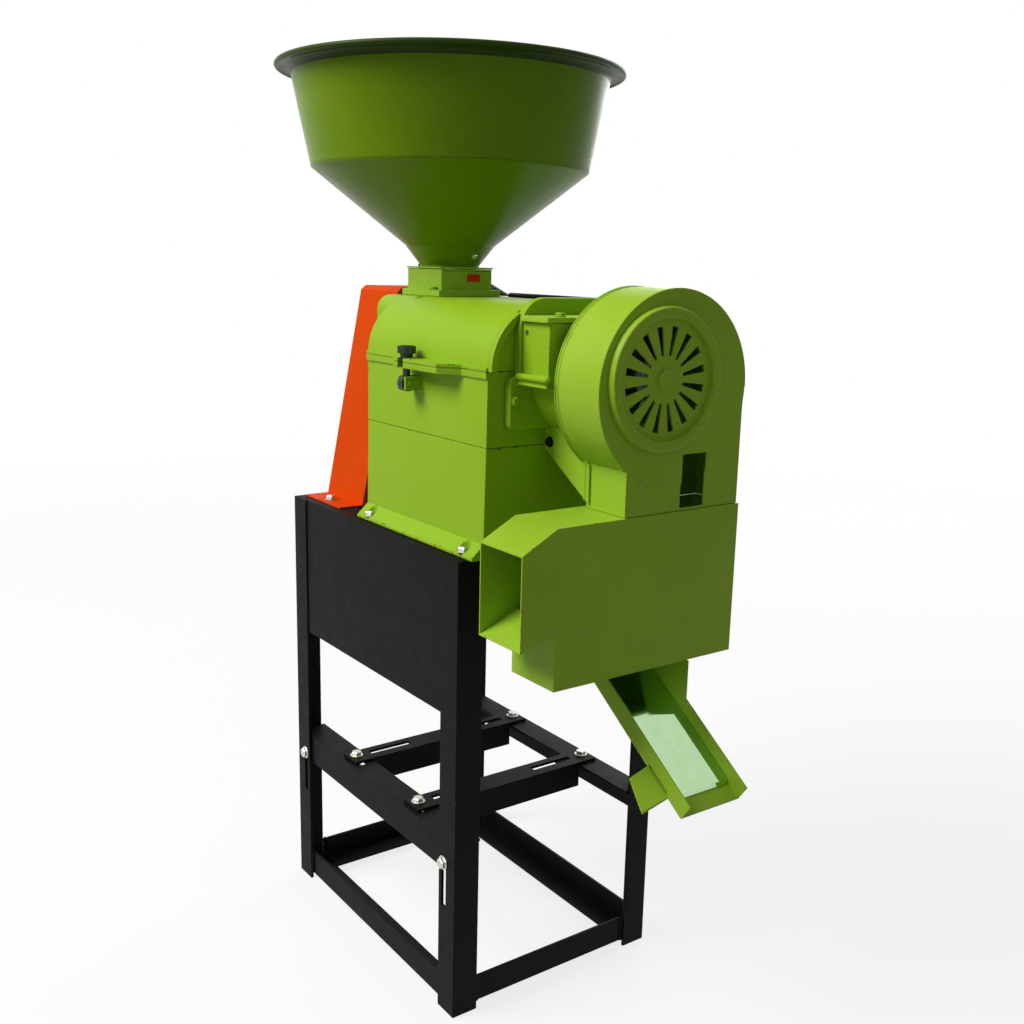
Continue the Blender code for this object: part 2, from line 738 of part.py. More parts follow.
def knuckle(name, start, upper):
    """A barrel around the hinge axis and the web that ties it to its wall."""
    end = start + KNUCKLE_LONG
    barrel = rod(name, 0, (HINGE_Y, HINGE_Z), KNUCKLE, start, end, tool=True, count=24)
    low_z = PARTING_Z + GAP / 2 if upper else PARTING_Z - KNUCKLE
    high_z = PARTING_Z + KNUCKLE if upper else BODY_TOP
    low = (start, HEAD_HALF_TOP - 0.003, low_z)
    return barrel, box(name + "_web", low, (end, HINGE_Y, high_z), tool=True)


body_knuckles = []
cover_knuckles = []
for number, spot in enumerate(HINGE_SPOTS):
    body_knuckles += knuckle(f"body_knuckle_{number}", spot, False)
    cover_knuckles += knuckle(f"cover_knuckle_{number}", spot + KNUCKLE_LONG + GAP, True)
HINGE_ENDS = (HINGE_SPOTS[0] - 0.006, HINGE_SPOTS[1] + 2 * KNUCKLE_LONG + 0.006)
hinge_bore = rod(
    "hinge_bore",
    0,
    (HINGE_Y, HINGE_Z),
    HINGE_PIN + GAP,
    HINGE_ENDS[0] - PAST,
    HINGE_ENDS[1] + PAST,
    tool=True,
    count=24,
)
join(head_body, trough, *clamp_lugs, body_bar, *body_knuckles)
cut(head_body, body_hollow)
join(head_body, body_block)
cut(head_body, screw_bore, shaft_bore, bearing_seat, screen_bore)
cut(head_body, pin_bore, stud_slot, hinge_bore)
paint(head_body, *LIME)

hinge_pin = rod(
    "hinge_pin",
    0,
    (HINGE_Y, HINGE_Z),
    HINGE_PIN,
    *HINGE_ENDS,
    (HINGE_ENDS[0], HINGE_Y, HINGE_Z),
    count=20,
)
paint(hinge_pin, *ZINC)


def arch(half, base, top, radius):
    """Upright sides, rounded shoulders and a flat top; listed as a closed outline."""
    right = circle((half - radius, top - radius), radius, 14, 0.0, math.pi / 2)
    left = circle((-(half - radius), top - radius), radius, 14, math.pi / 2, math.pi / 2)
    return [(half, base)] + right + left + [(-half, base)]


COVER_AT = (HEAD_X[0], HINGE_Y, HINGE_Z)
cover = prism(
    "top_cover", arch(HEAD_HALF_TOP, PARTING_Z, COVER_TOP, COVER_ROUND), 0, *HEAD_X, COVER_AT
)
cover_lip = box(
    "cover_lip",
    (HEAD_X[0], -HEAD_HALF_TOP - LIP, PARTING_Z),
    (HEAD_X[1], HEAD_HALF_TOP + LIP, PARTING_Z + COVER_LIP),
    tool=True,
)
cover_inlet = prism(
    "cover_inlet",
    arch(INLET_HALF, PARTING_Z, COVER_TOP, 0.02),
    0,
    INLET_X,
    HEAD_X[0] + 0.03,
    tool=True,
)
cover_hollow = prism(
    "cover_hollow",
    arch(inner_half, PARTING_Z - PAST, COVER_TOP - CAST_WALL, COVER_ROUND - CAST_WALL),
    0,
    *HOLLOW_X,
    tool=True,
)
cover_block = box(
    "cover_block",
    (HEAD_X[0] + 0.001, -BLOCK_HALF, PARTING_Z),
    (CHAMBER_X, BLOCK_HALF, COVER_TOP - 0.002),
    tool=True,
)
DUCT_X = XR + HOPPER_X
PIT_HALF = DUCT_HALF_Y - DUCT_WALL
inlet_hollow = box(
    "inlet_hollow",
    (HOPPER_PIT, -PIT_HALF, PARTING_Z - PAST),
    (SCREEN_X - 0.003, PIT_HALF, COVER_TOP + PAST),
    tool=True,
)
HANDLE_RADIUS = 0.004
HANDLE_Y = HEAD_HALF_TOP - HANDLE_FROM_SIDE
HANDLE_Z = COVER_TOP + HANDLE_RISE
HANDLE_X = (XR + HANDLE_LEFT, XR + HANDLE_RIGHT)
HANDLE_SINK = 0.012
join(cover, cover_lip, cover_inlet, cover_bar, *cover_knuckles)
cut(cover, cover_hollow)
join(cover, cover_block)
cut(cover, inlet_hollow, screw_bore, shaft_bore, bearing_seat, screen_bore)
cut(cover, stud_slot, hinge_bore)
handle = rod(
    "cover_handle",
    0,
    (HANDLE_Y, HANDLE_Z),
    HANDLE_RADIUS,
    HANDLE_X[0] - HANDLE_RADIUS,
    HANDLE_X[1] + HANDLE_RADIUS,
    (HANDLE_X[0], HANDLE_Y, HANDLE_Z),
    count=16,
)
for tag, x in (("left", HANDLE_X[0]), ("right", HANDLE_X[1])):
    spot = (x, HANDLE_Y)
    low = HANDLE_Z - HANDLE_SINK
    post = rod("handle_post_" + tag, 2, spot, HANDLE_RADIUS - 0.0005, low, HANDLE_Z, tool=True, count=16)
    hole = rod(
        "handle_hole_" + tag, 2, spot, HANDLE_RADIUS - 0.0005 + GAP, low - GAP, HANDLE_Z, tool=True, count=16
    )
    join(handle, post)
    cut(cover, hole)
paint(cover, *LIME)
paint(handle, *BLACK)

eye_bolt = rod(
    "clamp_eye_bolt",
    0,
    (CLAMP_Y, CLAMP_Z),
    EYE_RADIUS,
    CLAMP_X - EYE_HALF,
    CLAMP_X + EYE_HALF,
    (CLAMP_X, CLAMP_Y, CLAMP_Z),
    count=28,
)
KNOB_LOW = LUG_TOP + GAP
CLAMP_SPOT = (CLAMP_X, CLAMP_Y)
STUD_TOP = KNOB_LOW + 0.007
stud = rod(
    "eye_stud", 2, CLAMP_SPOT, STUD_RADIUS, CLAMP_Z + 0.006, STUD_TOP, tool=True, count=20
)
join(eye_bolt, stud)
cut(eye_bolt, pin_bore)
paint(eye_bolt, *ZINC)

PIN_REACH = EYE_HALF + GAP + LUG_WALL + 0.002
clamp_pin = rod(
    "clamp_pin",
    0,
    (CLAMP_Y, CLAMP_Z),
    CLAMP_PIN,
    CLAMP_X - PIN_REACH,
    CLAMP_X + PIN_REACH,
    (CLAMP_X, CLAMP_Y, CLAMP_Z),
    count=20,
)
paint(clamp_pin, *ZINC)

knob = rod(
    "clamp_knob", 2, CLAMP_SPOT, 0.0075, KNOB_LOW, KNOB_LOW + 0.014, (*CLAMP_SPOT, KNOB_LOW), count=24
)
grip = rod("knob_grip", 2, CLAMP_SPOT, 0.0115, KNOB_LOW + 0.005, KNOB_LOW + 0.0135, tool=True, count=8)
WING_REACH = -CLAMP_Y - HEAD_HALF_TOP - WING_CLEAR
wings = box(
    "knob_wings",
    (CLAMP_X - WING_REACH, CLAMP_Y - 0.003, KNOB_LOW + 0.006),
    (CLAMP_X + WING_REACH, CLAMP_Y + 0.003, KNOB_LOW + 0.0128),
    tool=True,
)
knob_bore = rod(
    "knob_bore", 2, CLAMP_SPOT, STUD_RADIUS + 0.001, KNOB_LOW - PAST, STUD_TOP + 0.001, tool=True, count=20
)
join(knob, grip, wings)
cut(knob, knob_bore)
paint(knob, *IRON)

# Feed duct, slide gate and hopper
DUCT_BASE = COVER_TOP + GAP
GUIDE = 0.005
GATE_WALL = 0.002
GATE_LOW = DUCT_TOP + GAP
GUIDE_TOP = GATE_LOW + GATE_WALL + GAP
DUCT_INSIDE = DUCT_X + DUCT_HALF_X - DUCT_WALL
duct = box(
    "feed_duct",
    (DUCT_X - DUCT_HALF_X, -DUCT_HALF_Y, DUCT_BASE),
    (DUCT_X + DUCT_HALF_X, DUCT_HALF_Y, DUCT_TOP),
    (DUCT_X, 0.0, DUCT_BASE),
)
duct_flange = box(
    "duct_flange",
    (DUCT_X - DUCT_HALF_X + 0.0002, -DUCT_HALF_Y - 0.009, DUCT_BASE),
    (DUCT_X + DUCT_HALF_X + 0.009, DUCT_HALF_Y + 0.009, DUCT_BASE + 0.008),
    tool=True,
)
duct_guides = []
for tag, side in (("front", -1), ("back", 1)):
    near = side * DUCT_HALF_Y
    far = side * (DUCT_HALF_Y - GUIDE)
    low = (DUCT_X - DUCT_HALF_X, min(near, far), DUCT_TOP - 0.002)
    high = (DUCT_X + DUCT_HALF_X, max(near, far), GUIDE_TOP)
    duct_guides.append(box("duct_guide_" + tag, low, high, tool=True))
duct_hollow = box(
    "duct_hollow",
    (HOPPER_PIT, -PIT_HALF, DUCT_BASE - PAST),
    (DUCT_INSIDE, PIT_HALF, DUCT_TOP - 0.001),
    tool=True,
)
gate_path = box(
    "gate_path",
    (HOPPER_PIT, -DUCT_HALF_Y + GUIDE, DUCT_TOP - 0.002),
    (DUCT_INSIDE, DUCT_HALF_Y - GUIDE, DUCT_TOP + PAST),
    tool=True,
)
join(duct, duct_flange, *duct_guides)
cut(duct, duct_hollow, gate_path)
paint(duct, *LIME)

GATE_HALF = DUCT_HALF_Y - GUIDE - GAP
GATE_END = DUCT_X - DUCT_HALF_X - 0.006
gate = box(
    "feed_gate",
    (GATE_END, -GATE_HALF, GATE_LOW),
    (DUCT_X + DUCT_HALF_X, GATE_HALF, GATE_LOW + GATE_WALL),
    (DUCT_X, 0.0, GATE_LOW),
)
gate_tab = box(
    "gate_tab",
    (GATE_END, -GATE_HALF * 0.6, GATE_LOW),
    (GATE_END + GATE_WALL, GATE_HALF * 0.6, GATE_LOW + 0.008),
    tool=True,
)
join(gate, gate_tab)
paint(gate, *LIME)

PLATE_LOW = GUIDE_TOP + GAP
PLATE_TOP = PLATE_LOW + 0.002
INSIDE = NECK_RADIUS - SHEET
funnel_profile = [
    (BREAK_RADIUS, BREAK_Z),
    (FUNNEL_RADIUS, FUNNEL_Z),
    (NECK_RADIUS + 0.0008, NECK_Z),
    (NECK_RADIUS, NECK_Z - 0.001),
    (NECK_RADIUS, PLATE_LOW + 0.0005),
    (INSIDE, PLATE_LOW + 0.0005),
    (INSIDE, NECK_Z),
    (FUNNEL_RADIUS - CONE_SHEET, FUNNEL_Z + 0.001),
    (BREAK_RADIUS - CONE_SHEET, BREAK_Z),
]
funnel = lathe("hopper_funnel", funnel_profile, (DUCT_X, 0.0), (DUCT_X, 0.0, FUNNEL_Z))
funnel_plate = box(
    "funnel_plate",
    (DUCT_X - DUCT_HALF_X, -DUCT_HALF_Y - 0.002, PLATE_LOW),
    (DUCT_X + DUCT_HALF_X, DUCT_HALF_Y + 0.002, PLATE_TOP),
    tool=True,
)
funnel_bore = rod(
    "funnel_bore", 2, (DUCT_X, 0.0), INSIDE - 0.0002, PLATE_LOW - PAST, NECK_Z - 0.002, tool=True
)
join(funnel, funnel_plate)
cut(funnel, funnel_bore)
paint(funnel, *LIME)

roll = circle((RIM_RADIUS, RIM_Z), ROLL_RADIUS, 14, math.radians(225), math.radians(320))
bowl_profile = (
    [(BREAK_RADIUS, BREAK_Z + GAP), (BOWL_TOP_RADIUS, RIM_Z - 0.0105)]
    + roll
    + [(BOWL_TOP_RADIUS + 0.0032, RIM_Z - 0.0060), (BOWL_TOP_RADIUS - SHEET, RIM_Z - 0.0095)]
    + [(BREAK_RADIUS - SHEET, BREAK_Z + GAP)]
)
bowl = lathe("hopper_bowl", bowl_profile, (DUCT_X, 0.0), (DUCT_X, 0.0, BREAK_Z), count=56)
paint(bowl, *LIME)

# Outlet: flange on the head, round housing with a lid, hanging flap
FLANGE_X = (HEAD_X[1] + GAP, XR + OUTLET_FLANGE_RIGHT)
flange = prism(
    "outlet_flange",
    arch(OUTLET_FLANGE_HALF, *OUTLET_FLANGE_Z, OUTLET_FLANGE_ROUND),
    0,
    *FLANGE_X,
    (FLANGE_X[0], *SHAFT_AT),
)
cut(
    flange,
    rod("flange_bore", 0, SHAFT_AT, SCREEN_RADIUS, FLANGE_X[0] - PAST, FLANGE_X[1] + PAST, tool=True),
)
paint(flange, *LIME)

HOUSING_X = (FLANGE_X[1] + GAP, XR + OUTLET_RIGHT)
HOUSING_WALL = 0.004
HOUSING_LIP = 0.012
LIP_REACH = 0.006


def half_round(radius, past=0.0):
    """The lower half of a circle about the shaft, closed by a flat top."""
    low = circle(SHAFT_AT, radius, 28, math.pi, math.pi)
    return low + [(radius, SHAFT_Z + past), (-radius, SHAFT_Z + past)]


housing = prism(
    "outlet_housing",
    half_round(OUTLET_RADIUS, 0.001),
    0,
    *HOUSING_X,
    (HOUSING_X[0], *SHAFT_AT),
)
housing_lip = box(
    "housing_lip",
    (HOUSING_X[0], -OUTLET_HALF - LIP_REACH, SHAFT_Z - 0.0015 - HOUSING_LIP),
    (HOUSING_X[1] + 0.003, OUTLET_HALF + LIP_REACH, SHAFT_Z - 0.0015),
    tool=True,
)
housing_top = box(
    "housing_top",
    (HOUSING_X[0], -OUTLET_HALF, SHAFT_Z - 0.004),
    (HOUSING_X[1], OUTLET_HALF, OUTLET_TOP),
    tool=True,
)
BOSS_RADIUS = 0.031
BOSS_X = (HOUSING_X[1] - BOSS_BACK, XR + FAN_BACK - GAP)
boss = rod("housing_boss", 0, SHAFT_AT, BOSS_RADIUS, *BOSS_X, tool=True, count=32)
housing_hollow = prism(
    "housing_hollow",
    half_round(OUTLET_RADIUS - HOUSING_WALL, 0.002),
    0,
    HOUSING_X[0] - PAST,
    HOUSING_X[1] - HOUSING_WALL,
    tool=True,
)
top_hollow = box(
    "top_hollow",
    (HOUSING_X[0] - PAST, -OUTLET_HALF + HOUSING_WALL, SHAFT_Z - 0.001),
    (HOUSING_X[1] - HOUSING_WALL, OUTLET_HALF - HOUSING_WALL, OUTLET_TOP + PAST),
    tool=True,
)
DROP_X = (FLANGE_X[1] + DROP_FROM_FLANGE, HOUSING_X[1] - DROP_TO_END)
DROP_HALF = 0.040
drop_hole = box(
    "drop_hole",
    (DROP_X[0], -DROP_HALF, SHAFT_Z - OUTLET_RADIUS - PAST),
    (DROP_X[1], DROP_HALF, SHAFT_Z - DROP_TOP_DEPTH),
    tool=True,
)
RIGHT_BEARING_X = BOSS_X[1] - 0.0005 - BEARING_WIDTH
outer_seat = rod(
    "outer_seat",
    0,
    SHAFT_AT,
    BEARING_RADIUS + GAP,
    RIGHT_BEARING_X - GAP,
    BOSS_X[1] + PAST,
    tool=True,
    count=32,
)
outer_bore = rod(
    "outer_bore", 0, SHAFT_AT, SHAFT_RADIUS + 0.001, BOSS_X[0] - PAST, BOSS_X[1], tool=True, count=32
)
FLAP_X = FLANGE_X[1] + FLAP_FROM_FLANGE
FLAP_Z = OUTLET_TOP - FLAP_BELOW_TOP
FLAP_PIN = 0.003
FLAP_HALF = 0.052
flap_bore = rod(
    "flap_bore",
    1,
    (FLAP_X, FLAP_Z),
    FLAP_PIN + GAP,
    -OUTLET_HALF - PAST,
    OUTLET_HALF + PAST,
    tool=True,
    count=20,
)
join(housing, housing_lip, housing_top)
cut(housing, housing_hollow, top_hollow)
join(housing, boss)
cut(housing, drop_hole, outer_seat, outer_bore, flap_bore)
paint(housing, *LIME)

lid = box(
    "outlet_lid",
    (HOUSING_X[0], -OUTLET_HALF - 0.005, OUTLET_TOP + GAP),
    (HOUSING_X[1] + 0.003, OUTLET_HALF + 0.005, OUTLET_TOP + 0.0065),
    (HOUSING_X[0], 0.0, OUTLET_TOP + GAP),
)
paint(lid, *LIME)

flap = rod(
    "pressure_flap",
    1,
    (FLAP_X, FLAP_Z),
    FLAP_PIN,
    -OUTLET_HALF + 0.001,
    OUTLET_HALF - 0.001,
    (FLAP_X, 0.0, FLAP_Z),
    count=16,
)
FLAP_WALL = 0.0015
FLAP_LOW = SHAFT_Z - FLAP_REACH_DOWN
flap_plate = box(
    "flap_plate",
    (FLAP_X - FLAP_WALL, -FLAP_HALF, FLAP_LOW),
    (FLAP_X + FLAP_WALL, FLAP_HALF, FLAP_Z),
    tool=True,
)
FORK_HALF = SHAFT_RADIUS + 0.004
fork = box(
    "flap_fork",
    (FLAP_X - PAST, -FORK_HALF, FLAP_LOW - PAST),
    (FLAP_X + PAST, FORK_HALF, SHAFT_Z + FORK_HALF),
    tool=True,
)
join(flap, flap_plate)
cut(flap, fork)
paint(flap, *ZINC)

# Fan drum with its neck, inlet ring and grille
fan = rod(
    "fan_housing",
    0,
    (FAN_Y, FAN_Z),
    FAN_RADIUS,
    XR + FAN_BACK,
    XR + FAN_FRONT,
    (XR + FAN_BACK, FAN_Y, FAN_Z),
    count=64,
)
NECK_LOW = BOX_TOP + GAP
neck = box(
    "fan_neck",
    (XR + NECK_BACK, NECK_LEFT_Y, NECK_LOW),
    (XR + NECK_FRONT, NECK_RIGHT_Y - 0.0002, FAN_Z),
    tool=True,
)
fan_hollow = rod(
    "fan_hollow",
    0,
    (FAN_Y, FAN_Z),
    FAN_RADIUS - BOX_WALL,
    XR + FAN_BACK + BOX_WALL,
    XR + FAN_FRONT - BOX_WALL,
    tool=True,
    count=64,
)
neck_hollow = box(
    "neck_hollow",
    (XR + NECK_BACK + BOX_WALL, NECK_LEFT_Y + BOX_WALL, NECK_LOW - PAST),
    (XR + NECK_FRONT - BOX_WALL, NECK_RIGHT_Y - 0.0005 - BOX_WALL, FAN_Z - 0.005),
    tool=True,
)
fan_bore = rod(
    "fan_bore",
    0,
    SHAFT_AT,
    SHAFT_RADIUS + 0.002,
    XR + FAN_BACK - PAST,
    XR + FAN_BACK + PAST,
    tool=True,
    count=32,
)
EYE_OPENING = 0.060
FRONT_CUT = (XR + FAN_FRONT - PAST, XR + FAN_FRONT + PAST)
fan_eye = rod("fan_eye", 0, SHAFT_AT, EYE_OPENING, *FRONT_CUT, tool=True)
window = box(
    "neck_window",
    (FRONT_CUT[0], WINDOW_Y[0], WINDOW_Z[0]),
    (FRONT_CUT[1], WINDOW_Y[1], WINDOW_Z[1]),
    tool=True,
)
DUCT_END_LOW = BOX_TOP + DUCT_END_HEIGHTS[0]
DUCT_END_TOP = BOX_TOP + DUCT_END_HEIGHTS[1]
duct_window = box(
    "duct_window",
    (XR + NECK_BACK - 0.003, -DROP_HALF, DUCT_END_LOW),
    (XR + NECK_BACK + 0.003, DROP_HALF, DUCT_END_TOP),
    tool=True,
)
join(fan, neck)
cut(fan, fan_hollow, neck_hollow, fan_bore, fan_eye, window, duct_window)
paint(fan, *LIME)

RING_LOW = XR + FAN_FRONT + GAP
RING_TOP = RING_LOW + RING_DEPTH
RING_INNER = 0.0645
ring_profile = [
    (RING_INNER, RING_LOW),
    (INLET_RING_RADIUS, RING_LOW),
    (INLET_RING_RADIUS, RING_TOP - 0.004),
    (INLET_RING_RADIUS - 0.0015, RING_TOP - 0.0012),
    (INLET_RING_RADIUS - 0.004, RING_TOP),
    (RING_INNER + 0.0025, RING_TOP),
    (RING_INNER, RING_TOP - 0.002),
]
grille = rod(
    "inlet_grille",
    0,
    SHAFT_AT,
    RING_INNER + 0.002,
    RING_LOW,
    RING_LOW + 0.0025,
    (RING_LOW, *SHAFT_AT),
)
ring = lathe("inlet_ring", ring_profile, SHAFT_AT, (0, 0, 0), axis=0, tool=True)
grille_boss = rod(
    "grille_boss", 0, SHAFT_AT, 0.012, RING_LOW, RING_LOW + 0.0055, tool=True, count=24
)
join(grille, ring, grille_boss)
SLOTS = 16
SLOT_RADII = (0.0252, 0.0558)
SLOT_HALVES = (0.0016, 0.0042)


def wedges(name, count, radii, halves, low, high):
    """Tapered slots set radially around the shaft, as one cutting mesh."""
    shape = bmesh.new()
    for step in range(count):
        angle = 2 * math.pi * (step + 0.5) / count
        out = (math.cos(angle), math.sin(angle))
        across = (-out[1], out[0])
        corners = []
        for radius, half in zip(radii, halves, strict=True):
            for side in (-half, half):
                y = radius * out[0] + side * across[0]
                z = SHAFT_Z + radius * out[1] + side * across[1]
                corners.append((y, z))
        order = (corners[0], corners[1], corners[3], corners[2])
        near = [shape.verts.new((low, y, z)) for y, z in order]
        far = [shape.verts.new((high, y, z)) for y, z in order]
        shape.faces.new(near)
        shape.faces.new(list(reversed(far)))
        for i in range(4):
            j = (i + 1) % 4
            shape.faces.new((near[j], near[i], far[i], far[j]))
    return mesh_object(name, shape, (0, 0, 0), True)


cut(
    grille,
    wedges("grille_slots", SLOTS, SLOT_RADII, SLOT_HALVES, RING_LOW - PAST, RING_LOW + PAST),
)
paint(grille, *LIME)

# Duct from the outlet housing down to the fan neck
outline = [(HEAD_X[1] + x, SHAFT_Z - drop) for x, drop in DUCT_OUTLINE]
DUCT_BACK_Y = -DUCT_FRONT_Y
transfer = prism(
    "transfer_duct", outline, 1, DUCT_FRONT_Y, DUCT_BACK_Y, (outline[0][0], DUCT_FRONT_Y, outline[0][1])
)
inner = [
    (outline[0][0] + BOX_WALL, outline[0][1] + BOX_WALL + 0.0008),
    (outline[0][0] + BOX_WALL, SHAFT_Z),
    (outline[2][0] - BOX_WALL, SHAFT_Z),
    (outline[2][0] - BOX_WALL, outline[2][1] - 0.0034),
    (outline[3][0] + 0.020, outline[3][1] - 0.0189),
    (outline[4][0] + 0.020, outline[4][1] - 0.0097),
]
transfer_hollow = prism(
    "transfer_hollow", inner, 1, DUCT_FRONT_Y + BOX_WALL, DUCT_BACK_Y - BOX_WALL, tool=True
)
saddle = rod(
    "saddle", 0, SHAFT_AT, OUTLET_RADIUS + GAP, XR, XR + FAN_BACK + PAST, tool=True
)
neck_room = box(
    "neck_room",
    (XR + NECK_BACK - GAP, NECK_LEFT_Y - GAP, DUCT_END_LOW - 0.03),
    (XR + NECK_BACK + 0.03, DUCT_BACK_Y + PAST, DUCT_END_TOP + 0.03),
    tool=True,
)
drum_room = rod(
    "drum_room", 0, (FAN_Y, FAN_Z), FAN_RADIUS + GAP, XR + FAN_BACK - GAP, XR + FAN_FRONT, tool=True
)
flange_room = box(
    "flange_room",
    (FLANGE_X[0] - 0.002, -OUTLET_FLANGE_HALF - PAST, OUTLET_FLANGE_Z[0] - GAP),
    (FLANGE_X[1] + GAP, OUTLET_FLANGE_HALF + PAST, OUTLET_TOP),
    tool=True,
)
cut(transfer, transfer_hollow, saddle, neck_room, drum_room, flange_room)
paint(transfer, *LIME)

# Separator box with the husk spout
BOX_X = (XR + FAN_BACK, XR + FAN_FRONT)
separator = box(
    "separator_box",
    (BOX_X[0], BOX_FRONT_Y, BOX_BOTTOM),
    (BOX_X[1], BOX_BACK_Y, BOX_TOP),
    (BOX_X[0], BOX_FRONT_Y, BOX_BOTTOM),
)
INTO = 0.0005
spout = prism(
    "husk_spout",
    [
        (BOX_FRONT_Y + INTO, SPOUT_ROOT_Z),
        (SPOUT_MOUTH_Y, SPOUT_LOW_Z),
        (SPOUT_MOUTH_Y, SPOUT_TOP_Z),
        (BOX_FRONT_Y, BOX_TOP),
        (BOX_FRONT_Y + INTO, BOX_TOP),
    ],
    0,
    *BOX_X,
    tool=True,
)
box_hollow = box(
    "box_hollow",
    (BOX_X[0] + BOX_WALL, BOX_FRONT_Y + BOX_WALL, BOX_BOTTOM + BOX_WALL),
    (BOX_X[1] - BOX_WALL, BOX_BACK_Y - BOX_WALL, BOX_TOP - BOX_WALL),
    tool=True,
)
REACH = BOX_FRONT_Y - SPOUT_MOUTH_Y
LOW_TILT = (SPOUT_ROOT_Z - SPOUT_LOW_Z) / REACH
TOP_TILT = (BOX_TOP - SPOUT_TOP_Z) / REACH
spout_hollow = prism(
    "spout_hollow",
    [
        (BOX_FRONT_Y + PAST, SPOUT_ROOT_Z + BOX_WALL + LOW_TILT * PAST),
        (SPOUT_MOUTH_Y - PAST, SPOUT_LOW_Z + BOX_WALL - LOW_TILT * PAST),
        (SPOUT_MOUTH_Y - PAST, SPOUT_TOP_Z - BOX_WALL - TOP_TILT * PAST),
        (BOX_FRONT_Y, BOX_TOP - BOX_WALL),
        (BOX_FRONT_Y + PAST, BOX_TOP - BOX_WALL),
    ],
    0,
    BOX_X[0] + BOX_WALL,
    BOX_X[1] - BOX_WALL,
    tool=True,
)
box_mouth = box(
    "box_mouth",
    (XR + NECK_BACK + BOX_WALL, NECK_LEFT_Y + BOX_WALL, BOX_TOP - PAST),
    (XR + NECK_FRONT - BOX_WALL, NECK_RIGHT_Y - BOX_WALL, BOX_TOP + PAST),
    tool=True,
)
CHUTE_X = XR + FAN_BACK + BOX_WALL
CHUTE_END_X = XR + CHUTE_TIP_X
KINK_X = XR + CHUTE_KINK_X
box_drop = box(
    "box_drop",
    (CHUTE_X + BOX_WALL, CHUTE_LEFT_Y + BOX_WALL, BOX_BOTTOM - PAST),
    (BOX_X[1] - 2 * BOX_WALL, CHUTE_RIGHT_Y - BOX_WALL, BOX_BOTTOM + PAST),
    tool=True,
)
join(separator, spout)
cut(separator, box_hollow, spout_hollow, box_mouth, box_drop)
paint(separator, *LIME)

# Rice chute with a sieve floor and a side spout for broken rice
CHUTE_TOP = BOX_BOTTOM - GAP


def chute_floor(x):
    return CHUTE_TIP_Z + CHUTE_SLOPE * (CHUTE_END_X - x)


FLOOR_WALL = 0.0022
rice_chute = prism(
    "rice_chute",
    [
        (CHUTE_X, chute_floor(CHUTE_X)),
        (CHUTE_END_X, chute_floor(CHUTE_END_X)),
        (CHUTE_END_X + CHUTE_LEAN, CHUTE_TIP_Z + CHUTE_WALL_HEIGHT * math.cos(CHUTE_ANGLE)),
        (KINK_X, chute_floor(KINK_X) + CHUTE_RISE),
        (KINK_X, CHUTE_TOP),
        (CHUTE_X, CHUTE_TOP),
    ],
    1,
    CHUTE_LEFT_Y,
    CHUTE_RIGHT_Y,
    (CHUTE_X, CHUTE_LEFT_Y, CHUTE_TOP),
)
over = CHUTE_END_X + CHUTE_LEAN + 0.02
back = CHUTE_X + BOX_WALL
chute_hollow = prism(
    "chute_hollow",
    [
        (back, chute_floor(back) + FLOOR_WALL),
        (over, chute_floor(over) + FLOOR_WALL),
        (over, CHUTE_TOP + PAST),
        (back, CHUTE_TOP + PAST),
    ],
    1,
    CHUTE_LEFT_Y + BOX_WALL,
    CHUTE_RIGHT_Y - BOX_WALL,
    tool=True,
)
SIDE_X = [CHUTE_END_X - distance for distance in SIDE_SPOUT_FROM_TIP]
SIEVE_WALL = 0.0012
broken_window = prism(
    "broken_window",
    [
        (SIDE_X[0] + BOX_WALL, chute_floor(SIDE_X[0] + BOX_WALL) + FLOOR_WALL),
        (SIDE_X[1] - BOX_WALL, chute_floor(SIDE_X[1] - BOX_WALL) + FLOOR_WALL),
        (SIDE_X[1] - BOX_WALL, chute_floor(SIDE_X[1] - BOX_WALL) + FLOOR_WALL + 0.004),
        (SIDE_X[0] + BOX_WALL, chute_floor(SIDE_X[0] + BOX_WALL) + FLOOR_WALL + 0.004),
    ],
    1,
    CHUTE_LEFT_Y - PAST,
    CHUTE_LEFT_Y + PAST / 2,
    tool=True,
)
# The front wall stays low right up to the box, and only the back wall stands up to meet it
low_top = chute_floor(KINK_X) + CHUTE_RISE + CHUTE_STEP
meets_box = KINK_X - (CHUTE_TOP + PAST - low_top) / CHUTE_SLOPE
front_opening = prism(
    "front_opening",
    [
        (meets_box, CHUTE_TOP + PAST),
        (KINK_X + CHUTE_STEP, low_top - CHUTE_STEP * CHUTE_SLOPE),
        (KINK_X + PAST, low_top + PAST),
        (KINK_X + PAST, CHUTE_TOP + PAST),
    ],
    1,
    CHUTE_LEFT_Y - PAST,
    CHUTE_LEFT_Y + BOX_WALL + PAST,
    tool=True,
)
cut(rice_chute, front_opening, chute_hollow, broken_window)
paint(rice_chute, *LIME)

sieve_start = back + GAP
sieve_end = XR + SIEVE_END_X
bend = sieve_end - 0.0015
sieve_low = FLOOR_WALL + GAP * 1.5
sieve = prism(
    "sieve_plate",
    [
        (sieve_start, chute_floor(sieve_start) + SIEVE_LIFT),
        (bend, chute_floor(bend) + SIEVE_LIFT),
        (bend, chute_floor(bend) + sieve_low),
        (sieve_end, chute_floor(sieve_end) + sieve_low),
        (sieve_end, chute_floor(sieve_end) + SIEVE_LIFT + SIEVE_WALL),
        (sieve_start, chute_floor(sieve_start) + SIEVE_LIFT + SIEVE_WALL),
    ],
    1,
    CHUTE_LEFT_Y + BOX_WALL + GAP,
    CHUTE_RIGHT_Y - BOX_WALL - GAP,
    (sieve_start, CHUTE_LEFT_Y, chute_floor(sieve_start)),
)
paint(sieve, *ZINC)

